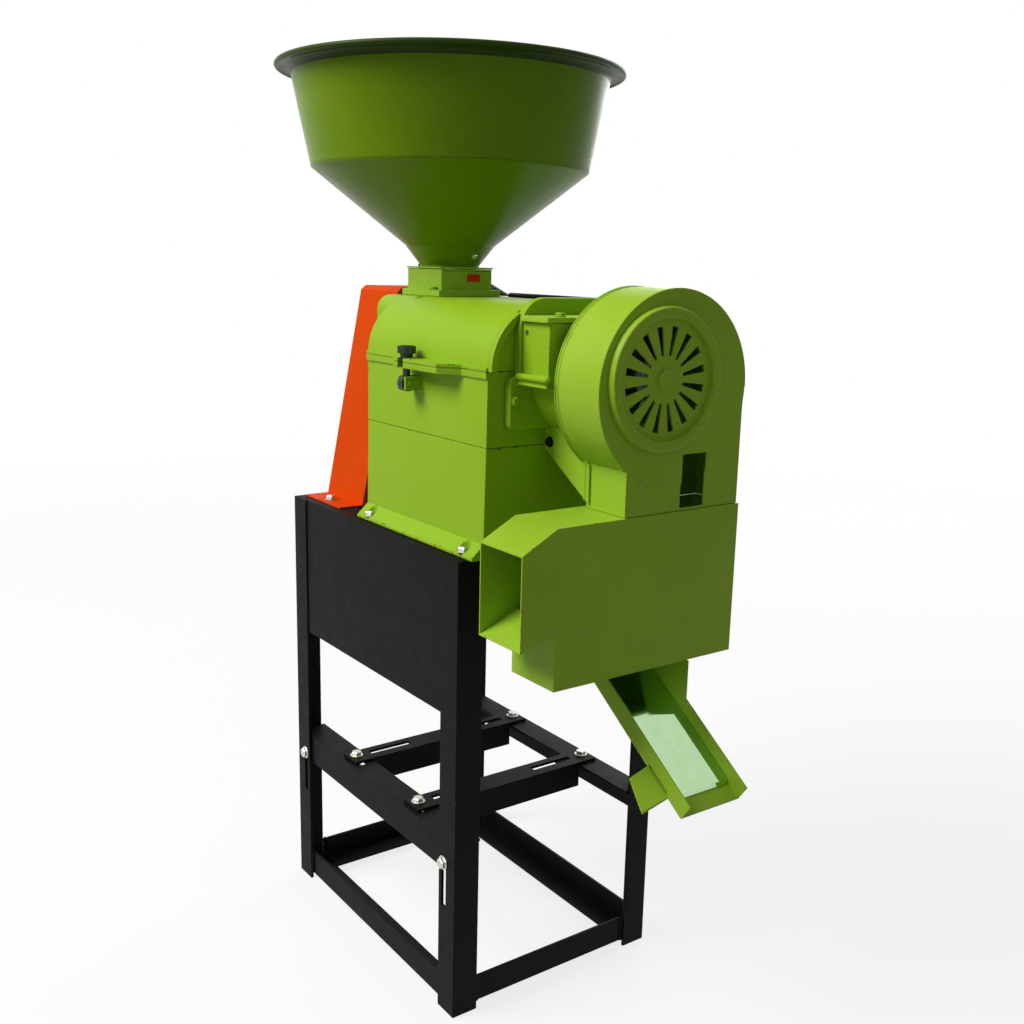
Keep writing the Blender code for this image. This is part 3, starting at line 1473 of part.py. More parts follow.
SIDE_REACH = (0.0255, 0.036)
SIDE_DROP = 0.0065
SIDE_THICK = 0.0018
wall_y = CHUTE_LEFT_Y - GAP
side_spout = solid(
    "side_spout",
    [
        (SIDE_X[0], wall_y - SIDE_REACH[0], chute_floor(SIDE_X[0]) - SIDE_DROP - SIDE_THICK),
        (SIDE_X[1], wall_y - SIDE_REACH[1], chute_floor(SIDE_X[1]) - SIDE_DROP - SIDE_THICK),
        (SIDE_X[1], wall_y, chute_floor(SIDE_X[1])),
        (SIDE_X[0], wall_y, chute_floor(SIDE_X[0])),
        (SIDE_X[0], wall_y - SIDE_REACH[0], chute_floor(SIDE_X[0]) - SIDE_DROP + 0.001),
        (SIDE_X[1], wall_y - SIDE_REACH[1], chute_floor(SIDE_X[1]) - SIDE_DROP + 0.001),
        (SIDE_X[1], wall_y, chute_floor(SIDE_X[1]) + FLOOR_WALL),
        (SIDE_X[0], wall_y, chute_floor(SIDE_X[0]) + FLOOR_WALL),
    ],
    (SIDE_X[0], wall_y, chute_floor(SIDE_X[0])),
)
paint(side_spout, *LIME)

# Belt guard
GUARD_X = (XR + GUARD_LEFT, XR + GUARD_RIGHT)
FOOT_TOP_Z = BASE_Z + GUARD_WALL
guard = prism(
    "belt_guard",
    [
        (GUARD_FRONT_LOW, BASE_Z),
        (GUARD_BACK_LOW, BASE_Z),
        (GUARD_BACK_TOP, GUARD_TOP - 0.006),
        (GUARD_BACK_TOP - 0.007, GUARD_TOP),
        (GUARD_FRONT_TOP + 0.007, GUARD_TOP),
        (GUARD_FRONT_TOP, GUARD_TOP - 0.006),
    ],
    0,
    *GUARD_X,
    (GUARD_X[0], 0.0, BASE_Z),
)
guard_hollow = prism(
    "guard_hollow",
    [
        (GUARD_FRONT_LOW + GUARD_WALL - 0.002, BASE_Z - PAST),
        (GUARD_BACK_LOW - GUARD_WALL + 0.002, BASE_Z - PAST),
        (GUARD_BACK_TOP - GUARD_WALL, GUARD_TOP - 0.006),
        (GUARD_BACK_TOP - 0.007, GUARD_TOP - GUARD_WALL),
        (GUARD_FRONT_TOP + 0.007, GUARD_TOP - GUARD_WALL),
        (GUARD_FRONT_TOP + GUARD_WALL, GUARD_TOP - 0.006),
    ],
    0,
    GUARD_X[0] + GUARD_WALL,
    GUARD_X[1] - GUARD_WALL,
    tool=True,
)
front_foot = box(
    "front_foot",
    (GUARD_X[0], GUARD_FRONT_LOW - GUARD_FOOT_FRONT, BASE_Z),
    (GUARD_X[1], GUARD_FRONT_LOW + 0.001, FOOT_TOP_Z),
    tool=True,
)
back_foot = box(
    "back_foot",
    (GUARD_X[0], GUARD_BACK_LOW - 0.001, BASE_Z),
    (GUARD_X[1], GUARD_BACK_LOW + GUARD_FOOT_BACK, FOOT_TOP_Z),
    tool=True,
)
guard_bore = rod(
    "guard_bore", 0, SHAFT_AT, 0.022, GUARD_X[1] - PAST, GUARD_X[1] + PAST, tool=True, count=32
)
GUARD_BOLT = (GUARD_X[0] + GUARD_BOLT_IN, GUARD_FRONT_LOW - GUARD_BOLT_FROM_WALL)
guard_hole = rod(
    "guard_hole", 2, GUARD_BOLT, FASTENER_HOLE, BASE_Z - PAST, BASE_Z + PAST, tool=True, count=16
)
join(guard, front_foot, back_foot)
cut(guard, guard_hollow, guard_bore, guard_hole)
cut(rails["top_front"], guard_hole)
bolt("guard_bolt", 2, GUARD_BOLT, FOOT_TOP_Z, GUARD_WALL + ANGLE_WALL + GAP)
paint(guard, *ORANGE)

# Running parts on the main shaft
shaft_left = XR + PULLEY_LEFT - 0.008
shaft_right = XR + FAN_FRONT - 0.006
shaft = rod(
    "main_shaft", 0, SHAFT_AT, SHAFT_RADIUS, shaft_left, shaft_right, (shaft_left, *SHAFT_AT), count=32
)
paint(shaft, *ZINC)
BORE = SHAFT_RADIUS + GAP


def turned(name, profile, start, colours, count=ROUND):
    """A ring of (radius, distance from its left face) on the main shaft."""
    placed = [(radius, start + distance) for radius, distance in profile]
    made = lathe(name, placed, SHAFT_AT, (start, *SHAFT_AT), axis=0, count=count)
    paint(made, *colours)
    return made


GROOVE = 0.010
pulley_profile = [(BORE, 0.0), (PULLEY_RADIUS, 0.0), (PULLEY_RADIUS, 0.003)]
for start in (0.003, PULLEY_WIDTH - 0.003 - 0.015):
    pulley_profile += [
        (PULLEY_RADIUS, start),
        (PULLEY_RADIUS - GROOVE, start + 0.0045),
        (PULLEY_RADIUS - GROOVE, start + 0.0105),
        (PULLEY_RADIUS, start + 0.015),
    ]
del pulley_profile[2]
pulley_profile += [(PULLEY_RADIUS, PULLEY_WIDTH), (BORE, PULLEY_WIDTH)]
turned("drive_pulley", pulley_profile, XR + PULLEY_LEFT, IRON)

CHAMFER = 0.001
bearing_profile = [
    (BORE, 0.0),
    (BEARING_RADIUS - CHAMFER, 0.0),
    (BEARING_RADIUS, CHAMFER),
    (BEARING_RADIUS, BEARING_WIDTH - CHAMFER),
    (BEARING_RADIUS - CHAMFER, BEARING_WIDTH),
    (BORE, BEARING_WIDTH),
]
turned("bearing_left", bearing_profile, BEARING_X, ZINC, 32)
turned("bearing_right", bearing_profile, RIGHT_BEARING_X, ZINC, 32)

screw_left = HOPPER_PIT + 0.001
screw_right = SCREEN_X - 0.001
SCREW_CORE = 0.019
feed_screw = lathe(
    "feed_screw",
    [(BORE, screw_left), (SCREW_CORE, screw_left), (SCREW_CORE, screw_right), (BORE, screw_right)],
    SHAFT_AT,
    (screw_left, *SHAFT_AT),
    axis=0,
    count=32,
)


def helix(name, inner_radius, outer_radius, start, end, turns, wall, steps):
    """A helical flight around the shaft, closed at both ends."""
    shape = bmesh.new()
    rings = []
    for step in range(steps + 1):
        part = step / steps
        angle = 2 * math.pi * turns * part
        x = start + (end - start - wall) * part
        ring = []
        corners = (
            (inner_radius, x),
            (outer_radius, x),
            (outer_radius, x + wall),
            (inner_radius, x + wall),
        )
        for radius, at_x in corners:
            ring.append(
                shape.verts.new((at_x, radius * math.cos(angle), SHAFT_Z + radius * math.sin(angle)))
            )
        rings.append(ring)
    shape.faces.new(rings[0])
    shape.faces.new(list(reversed(rings[-1])))
    for here, there in zip(rings[:-1], rings[1:], strict=True):
        for i in range(4):
            j = (i + 1) % 4
            shape.faces.new((here[j], here[i], there[i], there[j]))
    return mesh_object(name, shape, (0, 0, 0), True)


flight = helix(
    "screw_flight", SCREW_CORE - 0.003, SCREW_RADIUS, screw_left + 0.001, screw_right - 0.001, 2.5, 0.004, 80
)
join(feed_screw, flight)
paint(feed_screw, *IRON)

RIBS = 4
RIB_HALF = math.radians(7)
roller_left = SCREEN_X - 0.0005
roller_right = FLANGE_X[0] + 0.004
roller_outline = []
for rib in range(RIBS):
    centre = 2 * math.pi * rib / RIBS + math.radians(22)
    for radius, angle in (
        (ROLLER_CORE, centre - RIB_HALF * 1.6),
        (ROLLER_RADIUS, centre - RIB_HALF),
        (ROLLER_RADIUS, centre + RIB_HALF),
        (ROLLER_CORE, centre + RIB_HALF * 1.6),
    ):
        roller_outline.append((radius * math.cos(angle), SHAFT_Z + radius * math.sin(angle)))
    first = centre + RIB_HALF * 1.6
    last = centre + 2 * math.pi / RIBS - RIB_HALF * 1.6
    for step in range(1, 8):
        angle = first + (last - first) * step / 8
        roller_outline.append(
            (ROLLER_CORE * math.cos(angle), SHAFT_Z + ROLLER_CORE * math.sin(angle))
        )
roller = prism(
    "milling_roller", roller_outline, 0, roller_left, roller_right, (roller_left, *SHAFT_AT)
)
roller_bore = rod(
    "roller_bore", 0, SHAFT_AT, BORE, roller_left - PAST, roller_right + PAST, tool=True, count=32
)
cut(roller, roller_bore)
paint(roller, *IRON)

screen_length = HEAD_X[1] - SCREEN_X
screen = turned(
    "bran_screen",
    [(SCREEN_RADIUS, 0.0), (SCREEN_OUT, 0.0), (SCREEN_OUT, screen_length), (SCREEN_RADIUS, screen_length)],
    SCREEN_X,
    ZINC,
)


def slots_in_rows(name, start, end, rows, angles, half, reach):
    """Rows of long slots along the shaft, set at the given angles, as one cutting mesh."""
    shape = bmesh.new()
    pitch = (end - start) / rows
    for row in range(rows):
        low = start + pitch * (row + 0.12)
        high = start + pitch * (row + 0.88)
        for angle in angles:
            out = (math.cos(angle), math.sin(angle))
            across = (-out[1], out[0])
            near = []
            far = []
            for radius, side in ((reach[0], -half), (reach[0], half), (reach[1], half), (reach[1], -half)):
                y = radius * out[0] + side * across[0]
                z = SHAFT_Z + radius * out[1] + side * across[1]
                near.append(shape.verts.new((low, y, z)))
                far.append(shape.verts.new((high, y, z)))
            shape.faces.new(near)
            shape.faces.new(list(reversed(far)))
            for i in range(4):
                j = (i + 1) % 4
                shape.faces.new((near[j], near[i], far[i], far[j]))
    return mesh_object(name, shape, (0, 0, 0), True)


SLOT_ANGLES = [math.radians(200 + 20 * step) for step in range(8)]
cut(
    screen,
    slots_in_rows(
        "screen_slots",
        CHAMBER_X + 0.012,
        HEAD_X[1] - CAST_WALL - 0.012,
        5,
        SLOT_ANGLES,
        0.0012,
        (SCREEN_RADIUS - 0.004, SCREEN_OUT + 0.004),
    ),
)

impeller_left = XR + FAN_BACK + 0.012
BLADES = 6
BLADE_WIDTH = 0.046
impeller = lathe(
    "fan_impeller",
    [
        (BORE, impeller_left),
        (IMPELLER_PLATE, impeller_left),
        (IMPELLER_PLATE, impeller_left + 0.0025),
        (IMPELLER_HUB, impeller_left + 0.004),
        (IMPELLER_HUB, impeller_left + IMPELLER_LENGTH),
        (BORE, impeller_left + IMPELLER_LENGTH),
    ],
    SHAFT_AT,
    (impeller_left, *SHAFT_AT),
    axis=0,
    count=36,
)
for blade in range(BLADES):
    angle = 2 * math.pi * blade / BLADES
    out = (math.cos(angle), math.sin(angle))
    across = (-out[1] * 0.001, out[0] * 0.001)
    corners = []
    for radius, side in ((0.0175, -1), (IMPELLER_RADIUS, -1), (IMPELLER_RADIUS, 1), (0.0175, 1)):
        corners.append(
            (radius * out[0] + side * across[0], SHAFT_Z + radius * out[1] + side * across[1])
        )
    join(
        impeller,
        prism(
            f"blade_{blade}",
            corners,
            0,
            impeller_left + 0.001,
            impeller_left + BLADE_WIDTH,
            tool=True,
        ),
    )
paint(impeller, *ZINC)
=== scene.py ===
# %% [markdown]
# # A small rice huller
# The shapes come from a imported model: a stand of angle steel, a cast milling head, a hopper,
# a fan drum, a separator box and a chute. This lesson gives each piece its real surface and adds
# the small things that a solid model leaves out, such as rounded edges, bolts, beads and welds.
# Everything is in metres, +Z up, with the main shaft along X.

import json
import math

import bmesh
import bpy
from mathutils import Matrix, Vector
from mathutils.geometry import intersect_line_line_2d

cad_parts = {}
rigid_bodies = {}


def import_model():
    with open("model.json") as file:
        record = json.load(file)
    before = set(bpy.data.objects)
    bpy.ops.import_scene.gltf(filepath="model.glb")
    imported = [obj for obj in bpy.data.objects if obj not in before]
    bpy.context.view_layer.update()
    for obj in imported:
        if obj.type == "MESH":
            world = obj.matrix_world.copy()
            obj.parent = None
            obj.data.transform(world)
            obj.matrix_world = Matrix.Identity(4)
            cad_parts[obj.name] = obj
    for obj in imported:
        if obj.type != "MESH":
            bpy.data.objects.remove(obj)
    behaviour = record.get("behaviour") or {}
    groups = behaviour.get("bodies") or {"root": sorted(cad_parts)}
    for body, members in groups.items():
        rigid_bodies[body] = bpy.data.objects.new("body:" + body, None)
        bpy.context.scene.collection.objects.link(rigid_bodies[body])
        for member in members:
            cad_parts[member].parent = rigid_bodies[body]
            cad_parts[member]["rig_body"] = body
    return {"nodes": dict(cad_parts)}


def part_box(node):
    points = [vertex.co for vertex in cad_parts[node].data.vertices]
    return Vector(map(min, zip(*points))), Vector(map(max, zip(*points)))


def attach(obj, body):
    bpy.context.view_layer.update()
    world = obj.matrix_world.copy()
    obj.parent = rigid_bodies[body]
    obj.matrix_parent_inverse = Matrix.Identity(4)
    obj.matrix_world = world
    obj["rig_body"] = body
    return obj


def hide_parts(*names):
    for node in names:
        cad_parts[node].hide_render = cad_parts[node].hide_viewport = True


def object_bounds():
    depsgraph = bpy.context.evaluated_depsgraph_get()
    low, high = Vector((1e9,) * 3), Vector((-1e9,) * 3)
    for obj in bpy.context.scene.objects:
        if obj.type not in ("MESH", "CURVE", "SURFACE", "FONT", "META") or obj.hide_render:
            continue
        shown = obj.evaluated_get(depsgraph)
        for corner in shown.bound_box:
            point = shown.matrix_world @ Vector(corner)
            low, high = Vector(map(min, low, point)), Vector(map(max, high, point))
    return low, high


for item in list(bpy.data.objects):
    bpy.data.objects.remove(item, do_unlink=True)
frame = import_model()
cad_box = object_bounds()
nodes = frame["nodes"]
print(len(nodes), "solids,", [round(1000 * v) for v in cad_box[1] - cad_box[0]], "mm")

# %% [markdown]
# ## Camera
# The photograph was taken from the fan end, a little above the shaft. A camera can be aimed with
# a Track To constraint, but a view that has to match a picture is set more surely from its three
# axes. So the heading, tilt and roll become a rotation matrix, and the lens is worked out from the
# focal length in pixels of a picture that is 1024 pixels wide.

# %% Aim the camera
HEADING = math.radians(54.2036)
TILT = math.radians(12.2689)
ROLL = math.radians(1.3169)
PICTURE_SIDE = 1024
FOCAL_PIXELS = 1140.6862
CAMERA_AT = Vector((1.1443, -0.8227, 0.8982))

level = Vector((math.cos(HEADING), math.sin(HEADING), 0.0))
ahead = Vector((-math.sin(HEADING), math.cos(HEADING), 0.0)) * math.cos(TILT)
ahead.z = -math.sin(TILT)
upright = level.cross(ahead)
right = level * math.cos(ROLL) + upright * math.sin(ROLL)
top = upright * math.cos(ROLL) - level * math.sin(ROLL)
lens = bpy.data.cameras.new("photo_camera")
lens.sensor_width = 36.0
lens.lens = FOCAL_PIXELS * lens.sensor_width / PICTURE_SIDE
camera = bpy.data.objects.new("photo_camera", lens)
axes = Matrix((right, top, -ahead)).transposed().to_4x4()
camera.matrix_world = Matrix.Translation(CAMERA_AT) @ axes
bpy.context.scene.collection.objects.link(camera)
bpy.context.scene.camera = camera
bpy.context.scene.view_settings.view_transform = "Standard"
print("lens", round(lens.lens, 2), "mm")

# %% [markdown]
# ## Colours and nodes
# A hex colour from a paint chart or a picture is in sRGB, and Blender's sockets are linear, so one
# function turns one into the other. Node trees are easier to read when each node is one line, so
# a second function adds a node, sets it and links it. A pattern's scale is one over its size, so
# a third turns millimetres on the machine into the number that a texture node wants.

# %% Colour, node and scale helpers
def rgb(code):
    parts = []
    for i in (0, 2, 4):
        value = int(code[i : i + 2], 16) / 255
        parts.append(value / 12.92 if value <= 0.04045 else ((value + 0.055) / 1.055) ** 2.4)
    return (*parts, 1.0)


def add_node(tree, kind, inputs=None, **settings):
    made = tree.nodes.new(kind)
    for name, value in settings.items():
        setattr(made, name, value)
    for key, value in (inputs or {}).items():
        if isinstance(value, bpy.types.NodeSocket):
            tree.links.new(value, made.inputs[key])
        else:
            made.inputs[key].default_value = value
    return made


def per_mm(size):
    return 1000.0 / size


WHITE = (1.0, 1.0, 1.0, 1.0)
print("lime in linear light", [round(v, 3) for v in rgb("8FB92E")])

# %% [markdown]
# ## Floor and backdrop
# The picture has a plain white ground. A white sheet that is really lit white would throw light
# back on to the machine and wash out its dark sides, so the ground looks white only to the camera
# and to reflections: Light Path tells the shader which ray is asking, and light that bounces finds
# a grey floor. Near the machine the white is partly a lit surface, which keeps the shadow. Farther
# out it glows evenly, so that no horizon shows. The world behind it asks the same question: it is
# white to the camera, and only a weak even light to the machine.

# %% What a ray sees
def seen_directly(tree):
    """One for camera, mirror and glass rays, and zero for the light that bounces."""
    path = add_node(tree, "ShaderNodeLightPath")
    found = path.outputs["Is Camera Ray"]
    for other in ("Is Glossy Ray", "Is Transmission Ray"):
        both = {0: found, 1: path.outputs[other]}
        found = add_node(tree, "ShaderNodeMath", both, operation="MAXIMUM").outputs[0]
    return found


def fresh_material(name):
    made = bpy.data.materials.new(name)
    made.use_nodes = True
    made.node_tree.nodes.clear()
    return made, made.node_tree


print("finishes before the floor's:", len(bpy.data.materials))

# %% Floor
FLOOR_SIDE = 40.0
FLOOR_SQUARES = 8
GLOW_NEAR = 0.80
GLOW_STARTS = 0.9
GLOW_FULL = 4.0
paper, tree = fresh_material("pale_paper_ground")
grey = add_node(tree, "ShaderNodeBsdfDiffuse", {"Color": rgb("9C9C9A")})
lit = add_node(tree, "ShaderNodeBsdfDiffuse", {"Color": rgb("F4F4F3")})
glow = add_node(tree, "ShaderNodeEmission", {"Color": WHITE, "Strength": 1.0})
spot = add_node(tree, "ShaderNodeTexCoord").outputs["Object"]
reach = add_node(tree, "ShaderNodeVectorMath", {0: spot}, operation="LENGTH")
fade = {"From Min": GLOW_STARTS, "From Max": GLOW_FULL, "To Min": GLOW_NEAR, "To Max": 1.0}
share = add_node(tree, "ShaderNodeMapRange", {"Value": reach.outputs["Value"], **fade})
mix = {0: share.outputs[0], 1: lit.outputs[0], 2: glow.outputs[0]}
white = add_node(tree, "ShaderNodeMixShader", mix)
mix = {0: seen_directly(tree), 1: grey.outputs[0], 2: white.outputs[0]}
shown = add_node(tree, "ShaderNodeMixShader", mix)
add_node(tree, "ShaderNodeOutputMaterial", {"Surface": shown.outputs[0]})

shape = bmesh.new()
bmesh.ops.create_grid(
    shape, x_segments=FLOOR_SQUARES, y_segments=FLOOR_SQUARES, size=FLOOR_SIDE / 2
)
floor_mesh = bpy.data.meshes.new("floor")
shape.to_mesh(floor_mesh)
shape.free()
floor_mesh.materials.append(paper)
floor = bpy.data.objects.new("floor", floor_mesh)
floor.location.z = cad_box[0].z
bpy.context.scene.collection.objects.link(floor)
print("floor", FLOOR_SIDE, "m across")

# %% World
AMBIENT = 0.20
world = bpy.data.worlds.new("studio")
world.use_nodes = True
bpy.context.scene.world = world
tree = world.node_tree
tree.nodes.clear()
soft = add_node(tree, "ShaderNodeBackground", {"Color": WHITE, "Strength": AMBIENT})
white = add_node(tree, "ShaderNodeBackground", {"Color": WHITE, "Strength": 1.0})
mix = {0: seen_directly(tree), 1: soft.outputs[0], 2: white.outputs[0]}
shown = add_node(tree, "ShaderNodeMixShader", mix)
add_node(tree, "ShaderNodeOutputWorld", {"Surface": shown.outputs[0]})
print("ambient light", AMBIENT)

# %% [markdown]
# ## Lamps
# The photograph has soft light from the clamp's side, up and to the left, and its right-hand
# faces are dark. A sun would give hard shadows, so the light is an area lamp nearly 2 m wide. A
# weaker one behind is there for the views from the back, and adds little to what the camera sees.

# %% Key and rear lamps
MACHINE_MIDDLE = Vector((0.0, 0.0, 0.6))
LAMP_DISTANCE = 4.0


def soft_lamp(name, toward, side_length, watts):
    data = bpy.data.lights.new(name, "AREA")
    data.size = side_length
    data.energy = watts
    lamp = bpy.data.objects.new(name, data)
    away = Vector(toward).normalized()
    lamp.location = MACHINE_MIDDLE + away * LAMP_DISTANCE
    lamp.rotation_euler = away.to_track_quat("Z", "Y").to_euler()
    bpy.context.scene.collection.objects.link(lamp)


soft_lamp("key_lamp", (-0.28, -0.76, 0.80), side_length=1.9, watts=152.0)
soft_lamp("rear_lamp", (-0.45, 0.85, 0.45), side_length=2.4, watts=66.0)
print("two lamps", LAMP_DISTANCE, "m from the machine")

# %% [markdown]
# ## Enamel
# Nearly every surface here is sprayed enamel. Sprayed paint is never one flat colour: coats
# overlap in wide clouds, the surface keeps a fine ripple that painters call orange peel, and dust
# and handling dull it in patches. On corners the coat is thin and chips first. Each of those is a
# small piece of the node tree below. The wear needs to know where the corners are, and it reads
# that from an attribute called edge, which the rounding step further on writes on the meshes.
# The ripple is 1.5 to 3 mm in life, and it is drawn at that size. A casting's sandy skin and the
# wide waves of hammered or spun sheet are two more layers of the same kind of relief.

# %% Sizes of the enamel's patterns
CLOUD_MM = 150
PATCH_MM = 24
CHIP_MM = 6
PEEL_MM, PEEL_DEEP = 2.4, 0.0003
SAND_MM, SAND_DEEP = 4.5, 0.0008
WAVE_MM, WAVE_DEEP = 70, 0.004
DULLED = 0.12
print("clouds", CLOUD_MM, "mm, orange peel", PEEL_MM, "mm")

# %% Enamel finish
def enamel(name, colour, thin, dust, under, roughness, peel, grain=0.0, gloss=0.12, wave=0.0):
    """Sprayed enamel: main and thin-coat colours, dust, what shows under chips, and its relief."""
    made, tree = fresh_material(name)
    spot = add_node(tree, "ShaderNodeTexCoord").outputs["Object"]

    def noise(size, detail, rough=0.5):
        look = {"Vector": spot, "Scale": per_mm(size), "Detail": detail, "Roughness": rough}
        return add_node(tree, "ShaderNodeTexNoise", look).outputs[0]

    patches = noise(PATCH_MM, 6.0, 0.65)
    band = {"Value": noise(CLOUD_MM, 2.0), "From Min": 0.35, "From Max": 0.65}
    cloud = add_node(tree, "ShaderNodeMapRange", band)
    mix = {0: cloud.outputs[0], 6: rgb(colour), 7: rgb(thin)}
    tone = add_node(tree, "ShaderNodeMix", mix, data_type="RGBA")
    band = {"Value": patches, "From Min": 0.5, "From Max": 0.8, "To Max": 0.35}
    dull = add_node(tree, "ShaderNodeMapRange", band)
    mix = {0: dull.outputs[0], 6: tone.outputs[2], 7: rgb(dust)}
    dusty = add_node(tree, "ShaderNodeMix", mix, data_type="RGBA")

    corner = add_node(tree, "ShaderNodeAttribute", attribute_name="edge")
    band = {"Value": noise(CHIP_MM, 4.0), "From Min": 0.60, "From Max": 0.66}
    chipped = add_node(tree, "ShaderNodeMapRange", band)
    both = {0: corner.outputs["Fac"], 1: chipped.outputs[0]}
    worn = add_node(tree, "ShaderNodeMath", both, operation="MULTIPLY")
    mix = {0: worn.outputs[0], 6: dusty.outputs[2], 7: rgb(under)}
    paint = add_node(tree, "ShaderNodeMix", mix, data_type="RGBA")

    band = {"Value": patches, "From Min": 0.35, "From Max": 0.75}
    span = {"To Min": roughness, "To Max": roughness + DULLED}
    matt = add_node(tree, "ShaderNodeMapRange", {**band, **span})
    normal = {}
    for size, detail, rough, strength, depth in (
        (PEEL_MM, 1.0, 0.5, peel, PEEL_DEEP),
        (SAND_MM, 5.0, 0.7, grain, SAND_DEEP),
        (WAVE_MM, 1.0, 0.5, wave, WAVE_DEEP),
    ):
        if strength:
            height = noise(size, detail, rough)
            look = {"Height": height, "Strength": strength, "Distance": depth, **normal}
            normal = {"Normal": add_node(tree, "ShaderNodeBump", look).outputs[0]}
    look = {"Base Color": paint.outputs[2], "Roughness": matt.outputs[0], **normal}
    look["Specular IOR Level"] = gloss
    shader = add_node(tree, "ShaderNodeBsdfPrincipled", look)
    add_node(tree, "ShaderNodeOutputMaterial", {"Surface": shader.outputs[0]})
    return made


print("dusty patches are rougher by", DULLED)

# %% [markdown]
# The head is cast iron, so its enamel lies over a sandy skin. The boxes and drum are sheet steel
# and smoother. The hopper is spun sheet with a glossier coat, and its green is drawn deeper as
# painted shade, because its walls lean away from the light. The stand is hot rolled steel with a
# thin semi-matt black, and the guard is orange. Each line gives the main, thin, dusty and chipped
# colours, then the roughness and the orange peel.

# %% Mix the paints
sheet_lime = enamel(
    "lime_enamel_on_sheet_steel", "98BF2C", "A0C634", "A4BC54", "4A5634", 0.34, 0.22
)
cast_lime = enamel(
    "lime_enamel_on_cast_iron", "8EB61A", "94BC22", "98B242", "4A5634", 0.38, 0.25, grain=0.16
)
# The hopper's green is drawn darker than the head's, as painted shade on walls that face away from
# the light.
hopper_lime_painted_shade = enamel(
    "gloss_lime_enamel_darkened_as_painted_shade", "6A8A06", "72920C", "788E24", "46522C", 0.24, 0.10,
    gloss=0.08, wave=0.10,
)
# The lip's near-black green is painted shade under and over the rolled edge.
rim_lime_painted_shade = enamel(
    "lime_enamel_on_rim_darkened_as_painted_shade", "2E4206", "34480A", "3C4A1C", "2A3018", 0.34, 0.12,
    gloss=0.10,
)
frame_black = enamel(
    "black_enamel_on_hot_rolled_steel", "0F0F0F", "131313", "1B1B1A", "3A3834", 0.46, 0.3,
    grain=0.12, gloss=0.06,
)
handle_black = enamel(
    "black_enamel_on_round_bar", "0E0E0E", "131313", "1C1C1C", "3A3834", 0.36, 0.2, gloss=0.15
)
guard_orange = enamel(
    "orange_enamel_on_sheet_steel", "D64400", "DA4802", "CA4E10", "6B3A22", 0.42, 0.22,
    gloss=0.03,
)
print(len(bpy.data.materials), "finishes so far")

# %% [markdown]
# ## Bare and plated metal
# Zinc plate is grey with a faint blue and yellow cloud and a fine crystal pattern. Turned steel
# and iron keep the rings that the tool left, so their pattern is stretched: fine along the shaft
# and long around it. A metal has no paint colour, so the Metallic value is one and the colour is
# that of its reflection. The sieve plate's colour is tinted green, a painted reflection of the
# lime walls around it. The clamp's knob and eye bolt are a dark green that is painted shade on
# lime-painted parts, and half metallic, so their value is a half. The rings are 0.2 mm in life
# and drawn at 0.8 mm so that they show.

# %% Metal finishes
STAIN_MM = 14
METAL_DEEP = 0.0002
SMOOTHER, ROUGHER = 0.06, 0.08


def bare_metal(name, colour, tint, roughness, grain_mm, relief, metallic=1.0):
    """A metal whose pattern size is given in mm along X, Y and Z."""
    made, tree = fresh_material(name)
    spot = add_node(tree, "ShaderNodeTexCoord").outputs["Object"]
    size = tuple(per_mm(value) for value in grain_mm)
    drawn = add_node(tree, "ShaderNodeMapping", {"Vector": spot, "Scale": size})
    look = {"Vector": drawn.outputs[0], "Scale": 1.0, "Detail": 3.0}
    grain = add_node(tree, "ShaderNodeTexNoise", look).outputs[0]
    look = {"Vector": spot, "Scale": per_mm(STAIN_MM), "Detail": 4.0}
    clouds = add_node(tree, "ShaderNodeTexNoise", look)
    band = {"Value": clouds.outputs[0], "From Min": 0.35, "From Max": 0.7}
    cloud = add_node(tree, "ShaderNodeMapRange", band)
    mix = {0: cloud.outputs[0], 6: rgb(colour), 7: rgb(tint)}
    tone = add_node(tree, "ShaderNodeMix", mix, data_type="RGBA")
    band = {"Value": grain, "From Min": 0.3, "From Max": 0.7}
    span = {"To Min": roughness - SMOOTHER, "To Max": roughness + ROUGHER}
    matt = add_node(tree, "ShaderNodeMapRange", {**band, **span})
    look = {"Height": grain, "Strength": relief, "Distance": METAL_DEEP}
    bump = add_node(tree, "ShaderNodeBump", look)
    look = {"Base Color": tone.outputs[2], "Metallic": metallic}
    look.update({"Roughness": matt.outputs[0], "Normal": bump.outputs[0]})
    shader = add_node(tree, "ShaderNodeBsdfPrincipled", look)
    add_node(tree, "ShaderNodeOutputMaterial", {"Surface": shader.outputs[0]})
    return made


zinc = bare_metal("zinc_plated_steel", "C9CCC8", "D6D2C0", 0.30, (1.6, 1.6, 1.6), 0.25)
turned_steel = bare_metal("turned_carbon_steel", "B4B6B8", "A8A6A0", 0.28, (0.8, 40, 40), 0.3)
turned_iron = bare_metal("turned_grey_cast_iron", "6C6B69", "5B5955", 0.46, (0.8, 40, 40), 0.5)
# The knob's and eye bolt's dark green is painted shade on lime-painted iron.
clamp_iron_dark_painted_shade = bare_metal("cast_iron_dark_green_painted_shade", "2C371C", "222B18", 0.5, (2.2, 2.2, 2.2), 0.6, 0.5)
# The sieve's green tint is a painted reflection of the lime walls around it.
sieve_sheet_green_painted_reflection = bare_metal(
    "polished_steel_sheet_green_painted_reflection", "B2D2A2", "B8D6AA", 0.09, (60, 60, 60), 0.02
)
pressed_steel = bare_metal("pressed_galvanised_sheet", "A9ACAA", "B9BCB8", 0.36, (3, 3, 3), 0.2)
print(len(bpy.data.materials), "finishes")

# %% [markdown]
# ## Rounded edges
# No real edge is perfectly sharp. Sheet steel turns a small radius where it is folded, a casting
# has a larger one, and both catch a thin line of light that tells the eye how thick the metal is.
# A Bevel modifier would round them, but here the new faces also have to be marked for the wear,
# and bmesh's bevel hands them back. So each solid is copied, its triangles are merged into plain
# faces, the corners sharper than 30 degrees are rounded, and the new faces get edge = 1. Weighted
# normals keep the broad faces flat and the round ones smooth.

# %% Turn a bmesh into a piece
WELD = 2e-5
FLAT = math.radians(0.8)
CREASE = math.radians(30)


